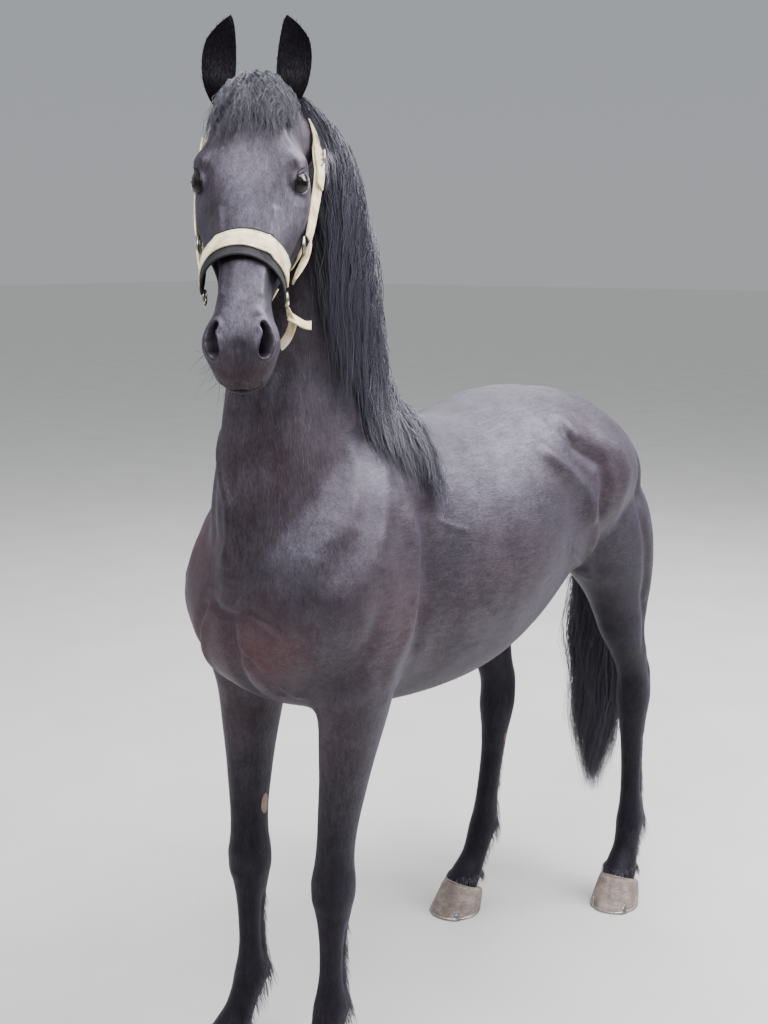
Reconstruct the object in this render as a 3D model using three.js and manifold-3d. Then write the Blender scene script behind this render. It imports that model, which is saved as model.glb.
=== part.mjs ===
// A life-size Friesian horse that stands with its head turned to its left, in a webbing halter.
// Units are millimetres. +Z is up, the horse faces -Y, and its left side is +X.
// The body is modelled with the withers over the origin, and the group is then moved so that
// the origin is on the floor, at the middle of the whole animal.
import * as THREE from "three";
import { mergeVertices } from "three/addons/utils/BufferGeometryUtils.js";
import Module from "manifold-3d";

const wasm = await Module();
wasm.setup();

// Driving dimensions

const WITHERS = 1548; // height of the withers
const GAP = 0.35; // clearance that touching pieces keep
const MIDDLE = [0, 366.732]; // the middle of the whole animal, which goes onto the origin

const POLL = [23, -285, 2133]; // top of the head, between the ears
const HEAD_TURN = 36; // degrees to the left
const HEAD_SLOPE = 55; // degrees of the face below the horizontal
const EYE = { along: 203, up: -38, radius: 23, proud: 3, lid: 3.5, ahead: 16, raised: 34 };
const EAR = { out: 67, along: 2, up: -28, length: 172, half: 33 };

const CORONET = 86; // height of the hoof at the toe
const HEEL = 46; // height of the hoof at the heel
const SOLE = { toe: 76, heel: 66, half: 66 };
const KNEE_SEAM = 415; // height where the forearm ends and the cannon starts
const HOCK_SEAM = 512; // height where the gaskin ends and the hind cannon starts

// The torso from the breast to the buttocks:
// y, top, bottom, half width, height of the widest line, pinch above, pinch below.
// A pinch over 1 narrows that half of the section, and one under 1 makes it square.
const TORSO = [
  [-366, 1175, 1120, 30, 1150, 1, 1],
  [-345, 1250, 1030, 90, 1140, 1, 1],
  [-300, 1350, 960, 150, 1135, 1.1, 0.95],
  [-225, 1440, 912, 196, 1130, 1.25, 0.9],
  [-140, 1500, 884, 212, 1125, 1.4, 0.9],
  [-60, 1538, 864, 216, 1115, 1.5, 0.9],
  [10, WITHERS, 851, 222, 1105, 1.45, 0.88],
  [100, 1520, 840, 240, 1100, 1.25, 0.88],
  [210, 1478, 835, 260, 1105, 1.1, 0.88],
  [320, 1459, 838, 272, 1125, 1, 0.9],
  [430, 1474, 854, 270, 1155, 0.95, 0.92],
  [565, 1497, 892, 254, 1190, 0.9, 0.95],
  [680, 1500, 946, 240, 1225, 0.88, 1],
  [780, 1491, 1002, 228, 1240, 0.88, 1],
  [880, 1465, 1052, 208, 1240, 0.9, 1],
  [975, 1424, 1096, 180, 1235, 0.95, 1],
  [1050, 1376, 1132, 138, 1238, 1, 1],
  [1100, 1330, 1168, 90, 1242, 1, 1],
  [1122, 1278, 1205, 36, 1242, 1, 1],
];

// Swellings and hollows of the torso, the same on both sides: middle, reach and rise.
const TORSO_SWELLS = [
  { name: "shoulder blade", at: [140, -75, 1360], reach: [120, 95, 150], rise: 20 },
  { name: "shoulder", at: [200, -185, 1200], reach: [110, 95, 150], rise: 22 },
  { name: "point of shoulder", at: [150, -285, 1150], reach: [75, 85, 95], rise: 36 },
  { name: "upper arm", at: [215, -120, 1030], reach: [80, 100, 110], rise: 22 },
  { name: "breast muscle", at: [68, -345, 1070], reach: [52, 80, 95], rise: 30 },
  { name: "elbow hollow", at: [230, 30, 1120], reach: [90, 70, 170], rise: -10 },
  { name: "haunch", at: [215, 850, 1290], reach: [120, 190, 150], rise: 38 },
  { name: "point of hip", at: [215, 600, 1400], reach: [80, 75, 65], rise: 22 },
  { name: "flank hollow", at: [255, 590, 1200], reach: [90, 80, 130], rise: -18 },
  { name: "buttock", at: [105, 1050, 1225], reach: [80, 110, 130], rise: 44 },
];

// The neck from its root to the poll: crest x, y, z, throat x, y, z, half width, pinch above.
const NECK = [
  [0, 200, 1440, 0, -290, 1010, 120, 1.1],
  [0, 115, 1528, 0, -352, 1150, 132, 1.3],
  [0, 70, 1604, 0, -366, 1285, 122, 1.45],
  [0, 52, 1695, 0, -350, 1420, 108, 1.45],
  [0, 36, 1795, 0, -320, 1555, 98, 1.4],
  [2, 8, 1900, 0, -282, 1670, 92, 1.35],
  [6, -48, 2000, 0, -246, 1760, 90, 1.25],
  [12, -128, 2080, 0, -226, 1832, 88, 1.1],
  [20, -206, 2116, 14, -236, 1900, 80, 1],
  [30, -258, 2104, 34, -266, 1960, 60, 1],
];

// The head from the back of the skull to the lips: distance along the face, height of the
// profile above the face line, depth of the jaw below it, half width, height of the widest
// line, pinch above, pinch below.
const HEAD = [
  [-52, -48, -88, 34, -66, 1, 1],
  [-34, -22, -128, 60, -66, 0.9, 1],
  [5, -4, -168, 74, -58, 0.8, 1],
  [50, 8, -204, 82, -54, 0.75, 1.05],
  [100, 13, -232, 92, -52, 0.7, 1.1],
  [150, 13, -246, 99, -60, 0.65, 1.15],
  [195, 9, -246, 100, -72, 0.7, 1.1],
  [240, 4, -228, 98, -88, 0.85, 1],
  [290, 0, -198, 88, -92, 0.95, 0.95],
  [340, -2, -168, 72, -84, 0.95, 0.95],
  [390, -3, -146, 57, -70, 0.85, 1],
  [435, -4, -134, 53, -62, 0.8, 1],
  [475, -6, -130, 57, -60, 0.8, 0.95],
  [510, -11, -132, 62, -62, 0.85, 0.9],
  [540, -22, -134, 59, -70, 0.9, 0.85],
  [564, -40, -128, 46, -80, 0.9, 0.85],
  [578, -62, -116, 28, -88, 0.95, 1],
  [586, -76, -102, 10, -89, 1, 1],
];

// Swellings and hollows of the head, the same on both sides: middle (out, back, up), reach, rise.
const HEAD_SWELLS = [
  { name: "orbit", at: [98, -180, -22], reach: [30, 36, 24], rise: 17 },
  { name: "temple", at: [86, -105, -40], reach: [30, 40, 30], rise: -8 },
  { name: "cheek", at: [88, -190, -150], reach: [40, 90, 70], rise: 10 },
  { name: "cheek bone", at: [84, -265, -62], reach: [26, 60, 22], rise: 5 },
  { name: "nose hollow", at: [52, -420, -75], reach: [30, 60, 34], rise: -6 },
  { name: "nostril", at: [56, -535, -46], reach: [24, 34, 28], rise: 12 },
  { name: "upper lip", at: [22, -582, -78], reach: [30, 26, 22], rise: 9 },
  { name: "lower lip", at: [14, -556, -128], reach: [34, 30, 20], rise: 10 },
  { name: "chin", at: [16, -505, -142], reach: [30, 30, 22], rise: 10 },
];

// Section of a foreleg at each height: fore, aft, half width.
const FORE_SHAPE = [
  [1170, 30, 40, 16],
  [1110, 74, 94, 50],
  [1040, 94, 114, 72],
  [980, 98, 112, 78],
  [930, 92, 98, 74],
  [850, 80, 80, 64],
  [760, 66, 64, 53],
  [680, 57, 54, 46],
  [600, 50, 47, 41],
  [545, 48, 46, 43],
  [500, 51, 51, 49],
  [465, 50, 53, 48],
  [432, 42, 49, 40],
  [400, 35, 43, 34],
  [350, 30, 38, 29],
  [295, 30, 37, 28],
  [255, 34, 43, 33],
  [220, 40, 52, 39],
  [188, 38, 48, 36],
  [150, 36, 43, 35],
  [115, 43, 47, 42],
  [84, 50, 48, 48],
  [34, 46, 44, 44],
];

// Section of a hind leg at each height: fore, aft, half width.
const HIND_SHAPE = [
  [1330, 50, 60, 20],
  [1270, 130, 140, 60],
  [1190, 190, 192, 92],
  [1100, 204, 198, 106],
  [1010, 178, 172, 98],
  [930, 132, 128, 80],
  [860, 102, 98, 66],
  [800, 84, 82, 56],
  [740, 70, 72, 48],
  [690, 58, 74, 43],
  [655, 52, 80, 42],
  [620, 53, 72, 45],
  [588, 54, 62, 48],
  [555, 50, 54, 45],
  [515, 42, 48, 39],
  [465, 36, 44, 34],
  [395, 33, 42, 31],
  [310, 33, 43, 31],
  [260, 37, 48, 34],
  [218, 43, 56, 39],
  [186, 41, 51, 37],
  [150, 38, 45, 36],
  [115, 44, 47, 42],
  [84, 50, 48, 48],
  [34, 46, 44, 44],
];

// Each leg: the way its toe points (degrees out), and its axis as height, x and y.
const LEGS = {
  fore_left: {
    shape: FORE_SHAPE, seam: KNEE_SEAM, toeOut: 4,
    axis: [[1170, 100, -160], [1080, 130, -150], [930, 130, -130], [760, 102, -124], [600, 78, -126], [485, 67, -126],
      [350, 73, -140], [220, 82, -158], [150, 84, -186], [84, 86, -220], [34, 87, -236]],
  },
  fore_right: {
    shape: FORE_SHAPE, seam: KNEE_SEAM, toeOut: -20,
    axis: [[1170, -100, -160], [1080, -134, -150], [930, -152, -130], [760, -166, -126], [600, -176, -124],
      [485, -179, -123], [350, -168, -138], [220, -154, -155], [150, -163, -182], [84, -176, -214], [34, -182, -230]],
  },
  hind_left: {
    shape: HIND_SHAPE, seam: HOCK_SEAM, toeOut: 6,
    axis: [[1330, 70, 900], [1200, 112, 928], [1100, 126, 946], [1010, 134, 976], [930, 140, 1012], [860, 143, 1028],
      [800, 145, 1042], [720, 144, 1090], [655, 141, 1120], [588, 140, 1130], [500, 142, 1128],
      [350, 147, 1124], [215, 151, 1116], [150, 153, 1092], [84, 155, 1056], [34, 156, 1040]],
  },
  hind_right: {
    shape: HIND_SHAPE, seam: HOCK_SEAM, toeOut: -8,
    axis: [[1330, -70, 880], [1200, -112, 850], [1100, -128, 796], [1010, -136, 768], [930, -140, 770],
      [860, -141, 786], [800, -140, 802], [720, -139, 826], [655, -138, 843], [588, -138, 848],
      [500, -142, 844], [350, -154, 835], [215, -165, 824], [150, -170, 794], [84, -177, 750], [34, -180, 728]],
  },
};

// The tail: a bony dock, then hair down to the fetlocks.
// Height, x, y, half depth, half width of the whole tail.
const TAIL = [
  [1392, 0, 1030, 26, 30],
  [1385, 0, 1085, 34, 40],
  [1340, 0, 1142, 38, 46],
  [1260, -2, 1180, 42, 54],
  [1150, -5, 1200, 50, 68],
  [1000, -8, 1212, 62, 86],
  [820, -12, 1216, 68, 98],
  [620, -16, 1214, 64, 90],
  [440, -20, 1210, 50, 66],
  [300, -22, 1206, 26, 34],
  [236, -23, 1205, 5, 6],
];

const TORSO_SIDES = 22;
const NECK_SIDES = 16;
const HEAD_SIDES = 22;
const LEG_SIDES = 11;

const radians = THREE.MathUtils.degToRad;
const lerp = THREE.MathUtils.lerp;
const vec = (x, y, z) => new THREE.Vector3(x, y, z);
const X = vec(1, 0, 0);
const Y = vec(0, 1, 0);
const Z = vec(0, 0, 1);

// Solids

const manifoldOf = (places, faces) =>
  new wasm.Manifold(
    new wasm.Mesh({
      numProp: 3,
      vertProperties: new Float32Array(places),
      triVerts: new Uint32Array(faces),
    }),
  );

const solidOf = (geometry) => {
  const bare = geometry.clone();
  for (const name of Object.keys(bare.attributes)) {
    if (name !== "position") bare.deleteAttribute(name);
  }
  const merged = mergeVertices(bare, 1e-3);
  return manifoldOf(merged.attributes.position.array, merged.index.array);
};

const geometryOf = (solid) => {
  const mesh = solid.getMesh();
  return new THREE.BufferGeometry()
    .setAttribute("position", new THREE.BufferAttribute(mesh.vertProperties, 3))
    .setIndex(new THREE.BufferAttribute(mesh.triVerts, 1));
};

const join = (solids) => wasm.Manifold.union(solids);

const largest = (solid) =>
  solid.decompose().reduce((best, body) => (body.volume() > best.volume() ? body : best));

// The same solid with its surface moved outwards.
const grown = (solid, by = GAP) => {
  const geometry = geometryOf(solid);
  geometry.computeVertexNormals();
  const { position, normal } = geometry.attributes;
  for (let i = 0; i < position.count; i++) {
    position.setXYZ(
      i,
      position.getX(i) + by * normal.getX(i),
      position.getY(i) + by * normal.getY(i),
      position.getZ(i) + by * normal.getZ(i),
    );
  }
  return manifoldOf(position.array, geometry.index.array);
};

// Values on a smooth curve through the rows of a table, at a place counted in rows.
const rowAt = (rows, place) => {
  const at = (i) => rows[THREE.MathUtils.clamp(i, 0, rows.length - 1)];
  const i = Math.min(Math.floor(place), rows.length - 2);
  const f = place - i;
  return rows[0].map((_, c) => {
    const rise = (at(i + 1)[c] - at(i - 1)[c]) / 2;
    const next = (at(i + 2)[c] - at(i)[c]) / 2;
    const [a, b] = [at(i)[c], at(i + 1)[c]];
    return (
      a * (2 * f ** 3 - 3 * f ** 2 + 1) +
      b * (3 * f ** 2 - 2 * f ** 3) +
      rise * (f ** 3 - 2 * f ** 2 + f) +
      next * (f ** 3 - f ** 2)
    );
  });
};
const smoothRows = (rows, count) =>
  Array.from({ length: count + 1 }, (_, k) => rowAt(rows, (k / count) * (rows.length - 1)));

// The row of a table, sorted by its first value, at one value of it.
const rowWhere = (rows, value) => {
  const down = rows[0][0] > rows[rows.length - 1][0] ? -1 : 1;
  let i = rows.findIndex((row, k) => k > 0 && down * (row[0] - value) >= 0);
  if (i < 0) i = rows.length - 1;
  return rowAt(rows, i - 1 + (value - rows[i - 1][0]) / (rows[i][0] - rows[i - 1][0]));
};

// One ring of points round a middle. The halves above and below have their own reach and pinch.
const ringOf = ({ middle, side, up, half, above, below, pinchUp = 1, pinchDown = 1, sides }) =>
  Array.from({ length: sides }, (_, k) => {
    const turn = (2 * Math.PI * k) / sides;
    const across = Math.cos(turn);
    const rise = Math.sin(turn);
    const pinch = rise > 0 ? pinchUp : pinchDown;
    return middle
      .clone()
      .addScaledVector(side, half * Math.sign(across) * Math.abs(across) ** pinch)
      .addScaledVector(up, (rise > 0 ? above : below) * rise);
  });

// A closed skin over a run of rings that all have the same number of points.
const loft = (rings) => {
  const sides = rings[0].length;
  const last = (rings.length - 1) * sides;
  const ends = [rings[0], rings[rings.length - 1]].map((ring) =>
    ring.reduce((sum, p) => sum.add(p), vec(0, 0, 0)).divideScalar(sides),
  );
  const places = [...rings.flat(), ...ends].flatMap((p) => p.toArray());
  const pole = rings.length * sides;
  const faces = [];
  for (let k = 0; k < sides; k++) {
    const next = (k + 1) % sides;
    for (let r = 0; r < last; r += sides) {
      faces.push([r + k, r + next, r + sides + next], [r + k, r + sides + next, r + sides + k]);
    }
    faces.push([pole, next, k], [pole + 1, last + k, last + next]);
  }
  const solid = manifoldOf(places, faces.flat());
  return solid.volume() > 0 ? solid : manifoldOf(places, faces.flatMap(([a, b, c]) => [a, c, b]));
};

// The rings with each swelling of a table added, outwards from the middle of each ring.
const swollen = (rings, swells) =>
  rings.map((ring) => {
    const middle = ring.reduce((sum, p) => sum.add(p), vec(0, 0, 0)).divideScalar(ring.length);
    return ring.map((p) => {
      let rise = 0;
      for (const { at, reach, rise: most } of swells) {
        for (const way of [1, -1]) {
          const far = vec((p.x - way * at[0]) / reach[0], (p.y - at[1]) / reach[1], (p.z - at[2]) / reach[2]);
          rise += most * Math.exp(-far.lengthSq());
        }
      }
      return p.clone().addScaledVector(p.clone().sub(middle).normalize(), rise);
    });
  });

const ball = ([rx, ry, rz], wide = 18, high = 12) =>
  new THREE.SphereGeometry(1, wide, high).scale(rx, ry, rz);

// A block that cuts one node from the next. Its top face passes through a place, and it may
// lean about the x axis.
const block = ({ at, size, lean = 0 }, extra = 0) =>
  solidOf(
    new THREE.BoxGeometry(size[0] + 2 * extra, size[1] + 2 * extra, size[2] + 2 * extra)
      .translate(0, 0, -size[2] / 2)
      .rotateX(radians(lean))
      .translate(...at),
  );

// Torso

const torsoSolid = () => {
  const rings = smoothRows(TORSO, 21).map(([y, top, bottom, half, wide, pinchUp, pinchDown]) =>
    ringOf({
      middle: vec(0, y, wide), side: X, up: Z, half, above: top - wide, below: wide - bottom,
      pinchUp, pinchDown, sides: TORSO_SIDES,
    }),
  );
  return loft(swollen(rings, TORSO_SWELLS));
};

// Neck

const neckRing = (place, sides) => {
  const [cx, cy, cz, tx, ty, tz, half, pinchUp] = rowAt(NECK, place);
  const crest = vec(cx, cy, cz);
  const up = crest.clone().sub(vec(tx, ty, tz));
  const depth = up.length();
  up.normalize();
  const share = place / (NECK.length - 1);
  const side = X.clone().applyAxisAngle(Z, radians(HEAD_TURN) * share ** 3);
  return ringOf({
    middle: crest.clone().addScaledVector(up, -0.56 * depth), side, up, half,
    above: 0.56 * depth, below: 0.44 * depth, pinchUp, pinchDown: 0.9, sides,
  });
};

const neckSolid = () => {
  const count = 13;
  const places = Array.from({ length: count + 1 }, (_, k) => (k / count) * (NECK.length - 1));
  return loft(places.map((place) => neckRing(place, NECK_SIDES)));
};

// Head, made in a frame of its own: x to the left, y back towards the poll, z up from the face

const headFrame = new THREE.Matrix4()
  .makeTranslation(...POLL)
  .multiply(new THREE.Matrix4().makeRotationZ(radians(HEAD_TURN)))
  .multiply(new THREE.Matrix4().makeRotationX(radians(HEAD_SLOPE)));
const onHead = (out, along, up) => vec(out, -along, up).applyMatrix4(headFrame);
const headSolidOf = (geometry) => solidOf(geometry.applyMatrix4(headFrame));

const headSolid = () => {
  const rings = smoothRows(HEAD, 20).map(([along, top, bottom, half, wide, pinchUp, pinchDown]) =>
    ringOf({
      middle: vec(0, -along, wide), side: X, up: Z, half, above: top - wide, below: wide - bottom,
      pinchUp, pinchDown, sides: HEAD_SIDES,
    }),
  );
  return loft(swollen(rings, HEAD_SWELLS).map((ring) => ring.map((p) => p.applyMatrix4(headFrame))));
};

// Eyes, with lids on the head that leave an almond opening

const eyeBall = (way, out, radius) =>
  headSolidOf(ball([radius, radius, radius], 12, 8).translate(way * out, -EYE.along, EYE.up));

const lidOpening = (way, out) => {
  const almond = new THREE.Shape()
    .moveTo(-23 * way, -6)
    .quadraticCurveTo(-5 * way, 30, 21 * way, 5)
    .quadraticCurveTo(4 * way, -27, -23 * way, -6);
  return headSolidOf(
    new THREE.ExtrudeGeometry(almond, { depth: 40, bevelEnabled: false, curveSegments: 5 })
      .rotateX(Math.PI / 2)
      .rotateZ(Math.PI / 2)
      .rotateZ(way > 0 ? 0 : Math.PI)
      .rotateY(radians(-EYE.raised * way))
      .rotateZ(radians(-EYE.ahead * way))
      .translate(way * out, -EYE.along, EYE.up),
  );
};

// Nostrils and mouth, cut into the muzzle

const NOSTRIL = { out: 46, along: 532, up: -26, size: [11, 29, 16], lean: 16, turn: 16 };
const nostrilSolid = (way) =>
  headSolidOf(
    ball(NOSTRIL.size, 10, 6)
      .rotateX(radians(NOSTRIL.lean))
      .rotateZ(radians(-way * NOSTRIL.turn))
      .translate(way * NOSTRIL.out, -NOSTRIL.along, NOSTRIL.up),
  );

const MOUTH = [[468, -106], [500, -110], [532, -112], [558, -108], [574, -102]]; // along, up
const MOUTH_FRONT = { along: 584, up: -100 };
const mouthSolid = (edge) => {
  const side = MOUTH.map(([along, up]) => [edge(along, up), along, up]);
  const points = [
    ...side.map(([out, along, up]) => onHead(out, along, up)),
    onHead(0, MOUTH_FRONT.along, MOUTH_FRONT.up),
    ...side.reverse().map(([out, along, up]) => onHead(-out, along, up)),
  ];
  const lip = new THREE.Shape().absellipse(0, 0, 4, 4, 0, 2 * Math.PI);
  const extrudePath = new THREE.CatmullRomCurve3(points);
  return solidOf(new THREE.ExtrudeGeometry(lip, { extrudePath, steps: 10, curveSegments: 2 }));
};

// Ears: a cup that opens to the front, wide at its middle and bent in at its tip

const earSolid = (way) => {
  const rings = smoothRows([
    // share of the length, half width, half depth, how far the front is scooped, sideways bend
    [-0.3, 0.3, 12, 0, -22],
    [-0.14, 0.66, 19, 0, -10],
    [0.06, 0.84, 22, 0, 0],
    [0.28, 0.98, 21, 0.8, 4],
    [0.5, 1, 19, 1, 5],
    [0.7, 0.86, 15, 1, 3],
    [0.87, 0.5, 9, 0.9, -3],
    [1, 0.06, 2, 0, -11],
  ], 7).map(([share, half, depth, scoop, bend]) =>
    Array.from({ length: 12 }, (_, k) => {
      const turn = (2 * Math.PI * k) / 12;
      const back = Math.sin(turn) < 0;
      const arch = depth * Math.abs(Math.sin(turn));
      const front = lerp(arch, -arch + Math.min(7, 1.4 * arch), scoop);
      return onHead(
        way * (EAR.out + bend + EAR.half * half * Math.cos(turn)),
        EAR.along - share * EAR.length,
        EAR.up + 14 * share + (back ? -arch : front),
      );
    }),
  );
  return loft(rings);
};

// Legs

const legSolid = ({ shape, axis }) =>
  loft(
    shape.map(([z]) => {
      const [, fore, aft, half] = rowWhere(shape, z);
      const [, x, y] = rowWhere(axis, z);
      return ringOf({
        middle: vec(x, y, z), side: X, up: Y.clone().negate(), half, above: fore, below: aft,
        pinchUp: 0.95, pinchDown: 0.95, sides: LEG_SIDES,
      });
    }),
  );

// Hooves: a wall that slopes out to a flat sole

const hoofSolid = ({ axis, toeOut }) => {
  const [, x, y] = rowWhere(axis, 84);
  const rows = [
    // share of the height, forward shift, toe reach, heel reach, half width
    [1, 0, 54, 50, 53],
    [0.93, -2, 57, 52, 55],
    [0, -32, SOLE.toe, SOLE.heel, SOLE.half],
  ];
  return loft(
    rows.map(([share, shift, toe, heel, half]) => {
      const ring = ringOf({
        middle: vec(0, shift, 0), side: X, up: Y.clone().negate(), half, above: toe, below: heel,
        pinchUp: 0.9, pinchDown: 0.8, sides: 14,
      });
      return ring.map((p) => {
        const back = THREE.MathUtils.clamp((p.y - shift + toe) / (toe + heel), 0, 1);
        return vec(p.x, p.y, share * lerp(CORONET, HEEL, back))
          .applyAxisAngle(Z, radians(toeOut))
          .add(vec(x, y, 0));
      });
    }),
  );
};

// Tail


// Locks of hair: flat solids that follow a path, wide across their lie and drawn out to a tip.
// The numbers of a lock come from one seeded sequence.

let seed = 11;
const random = (low = 0, high = 1) => {
  seed = (seed * 1664525 + 1013904223) % 4294967296;
  return low + ((high - low) * seed) / 4294967296;
};

const lockSolid = ({ path, outOf, half, deep, sideOf = () => null }) => {
  const last = path.length - 1;
  const rings = path.map((p, k) => {
    const along = path[Math.min(k + 1, last)].clone().sub(path[Math.max(k - 1, 0)]).normalize();
    const lie = along.clone().cross(outOf(p, k / last)).normalize();
    const across = sideOf(k, lie) ?? lie;
    const face = across.clone().cross(along).normalize();
    const share = k / last;
    const full = Math.min(0.55 + 1.5 * share, 1) * (1.04 - share ** 2.4);
    return [
      p.clone().addScaledVector(across, half * full),
      p.clone().addScaledVector(face, deep * Math.min(full, 0.9)),
      p.clone().addScaledVector(across, -half * full),
      p.clone().addScaledVector(face, -deep * Math.min(full, 0.9)),
    ];
  });
  return loft(rings);
};

const DOCK = { low: 1090, rings: 8, sides: 10, share: 0.62 };
const TAIL_LOCKS = { count: 13, rings: 6, half: 31, deep: 12, high: [1150, 1350], low: [236, 420] };
const tailSolid = () => {
  const dock = smoothRows(TAIL.filter(([z]) => z > DOCK.low), DOCK.rings).map(
    ([z, x, y, deep, half], k) => {
      const up = k < 3 ? vec(0, 0.7, 0.7).normalize() : Y;
      const full = lerp(1, DOCK.share, k / DOCK.rings);
      return ringOf({
        middle: vec(x, y, z), side: X, up, half: half * full, above: deep * full,
        below: deep * full, sides: DOCK.sides,
      });
    },
  );
  const locks = Array.from({ length: TAIL_LOCKS.count }, (_, k) => {
    const turn = 2.4 * k;
    const layer = k % 3 ? 0.8 : 0.45;
    const start = random(...TAIL_LOCKS.high);
    const end = k === 1 ? TAIL_LOCKS.low[0] : random(...TAIL_LOCKS.low);
    const phase = random(0, 6);
    const outOf = () => vec(Math.cos(turn), Math.sin(turn), 0);
    const path = Array.from({ length: TAIL_LOCKS.rings }, (_, r) => {
      const share = r / (TAIL_LOCKS.rings - 1);
      const [z, x, y, deep, half] = rowWhere(TAIL, lerp(start, end, share));
      const off = layer * Math.min(0.35 + 2.2 * share, 1);
      const wave = 6 * Math.sin(9 * share + phase);
      return vec(x + half * off * Math.cos(turn) + wave, y + deep * off * Math.sin(turn), z);
    });
    return lockSolid({ path, outOf, half: TAIL_LOCKS.half, deep: TAIL_LOCKS.deep });
  });
  return join([loft(dock), ...locks]);
};

// How far a solid reaches to the left, found with a ray, to lay hair and straps on it

const FAR = 900;
const reachOf = (solid) => {
  const target = new THREE.Mesh(geometryOf(solid), new THREE.MeshBasicMaterial());
  const ray = new THREE.Raycaster();
  return (from, towards) => {
    ray.set(from, towards);
    const [hit] = ray.intersectObject(target);
    return hit ? Math.max(FAR - hit.distance, 0) : 0;
  };
};
const leftSideOf = (solid) => {
  const reach = reachOf(solid);
  return (y, z) => reach(vec(FAR, y, z), vec(-1, 0, 0));
};
const headEdgeOf = (solid) => {
  const reach = reachOf(solid);
  const inwards = vec(-1, 0, 0).transformDirection(headFrame);
  return (along, up) => reach(onHead(FAR, along, up), inwards);
};

// The blocks that part the flesh into nodes

const LEG_BLOCKS = {
  leg_fore_left: { at: [170, -160, 925], size: [280, 340, 1200] },
  leg_fore_right: { at: [-170, -160, 925], size: [280, 340, 1200] },
  leg_hind_left: { at: [265, 975, 1078], size: [470, 820, 1400], lean: 14 },
  leg_hind_right: { at: [-265, 975, 1078], size: [470, 820, 1400], lean: 14 },
};
const NECK_CUT = { y: -165, z: 1390, lean: 39.5 };

const neckBlock = (extra) =>
  solidOf(
    new THREE.BoxGeometry(700 + 2 * extra, 900 + 2 * extra, 1100 + 2 * extra)
      .translate(0, 0, 550)
      .rotateX(radians(NECK_CUT.lean))
      .translate(0, NECK_CUT.y, NECK_CUT.z),
  );

const nodes = {};
const legs = Object.entries(LEGS);
const hooves = legs.map(([, leg]) => hoofSolid(leg));
const shanks = legs.map(([, leg], k) => legSolid(leg).subtract(grown(hooves[k])));
const skull = headSolid();
const trunk = join([torsoSolid(), neckSolid()]).subtract(grown(skull));
let rest = join([trunk, ...shanks]);
const partOff = (name, cutter) => {
  nodes[name] = largest(rest.intersect(cutter(0)));
  rest = rest.subtract(cutter(GAP));
};
const lifted = (spec) => (extra) =>
  block({ ...spec, at: [spec.at[0], spec.at[1], spec.at[2] + extra] }, extra);

partOff("neck", neckBlock);
for (const [name, leg] of legs) {
  const [, x, y] = rowWhere(leg.axis, 300);
  partOff(`cannon_${name}`, lifted({ at: [x, y, leg.seam], size: [280, 420, 600] }));
  partOff(`leg_${name}`, lifted(LEG_BLOCKS[`leg_${name}`]));
}
nodes.torso = largest(rest);
legs.forEach(([name], k) => {
  nodes[`hoof_${name}`] = hooves[k];
});

// Face

const headEdge = headEdgeOf(skull);
const eyeOut = headEdge(EYE.along, EYE.up) + EYE.proud - EYE.radius;
nodes.head = skull.subtract(mouthSolid(headEdge));
for (const [name, way] of [["left", 1], ["right", -1]]) {
  const lidded = nodes.head.add(eyeBall(way, eyeOut, EYE.radius + EYE.lid));
  nodes[`eye_${name}`] = eyeBall(way, eyeOut, EYE.radius);
  nodes.head = lidded
    .subtract(lidOpening(way, eyeOut))
    .subtract(eyeBall(way, eyeOut, EYE.radius + GAP))
    .subtract(nostrilSolid(way));
}
nodes.head = largest(nodes.head);

// Forelock: locks from between the ears, parted over the forehead

const FORELOCK = { count: 9, rings: 5, half: 16, deep: 7, root: [-22, 4], reach: [118, 168] };
const forelockSolids = () => {
  const reach = reachOf(skull);
  const down = vec(0, 0, -1).transformDirection(headFrame);
  const faceTop = (out, along) => reach(onHead(out, along, FAR), down);
  return Array.from({ length: FORELOCK.count }, (_, k) => {
    const spread = (2 * k) / (FORELOCK.count - 1) - 1;
    const start = lerp(FORELOCK.root[1], FORELOCK.root[0], Math.abs(spread)) + random(-4, 4);
    const end = lerp(FORELOCK.reach[1], FORELOCK.reach[0], spread ** 2) + random(-14, 6);
    const lift = k % 2 ? 11 : 17;
    const drift = random(-9, 9);
    const path = Array.from({ length: FORELOCK.rings }, (_, r) => {
      const share = r / (FORELOCK.rings - 1);
      const out = spread * lerp(20, 60, share ** 0.8) + drift * share;
      const along = lerp(start, end, share);
      const over = r === 0 ? -20 : lift * (1 - 0.6 * share ** 2);
      return onHead(out, along, faceTop(out, along) + over);
    });
    const outOf = () => vec(spread * 0.5, 0, 1).transformDirection(headFrame);
    return lockSolid({ path, outOf, half: FORELOCK.half, deep: FORELOCK.deep });
  });
};
nodes.head = largest(join([nodes.head, ...forelockSolids()]));
for (const [name, way] of [["left", 1], ["right", -1]]) {
  nodes[`ear_${name}`] = largest(earSolid(way).subtract(grown(nodes.head)));
}

// Mane: locks that rise from the crest and hang down the left side of the neck

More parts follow.
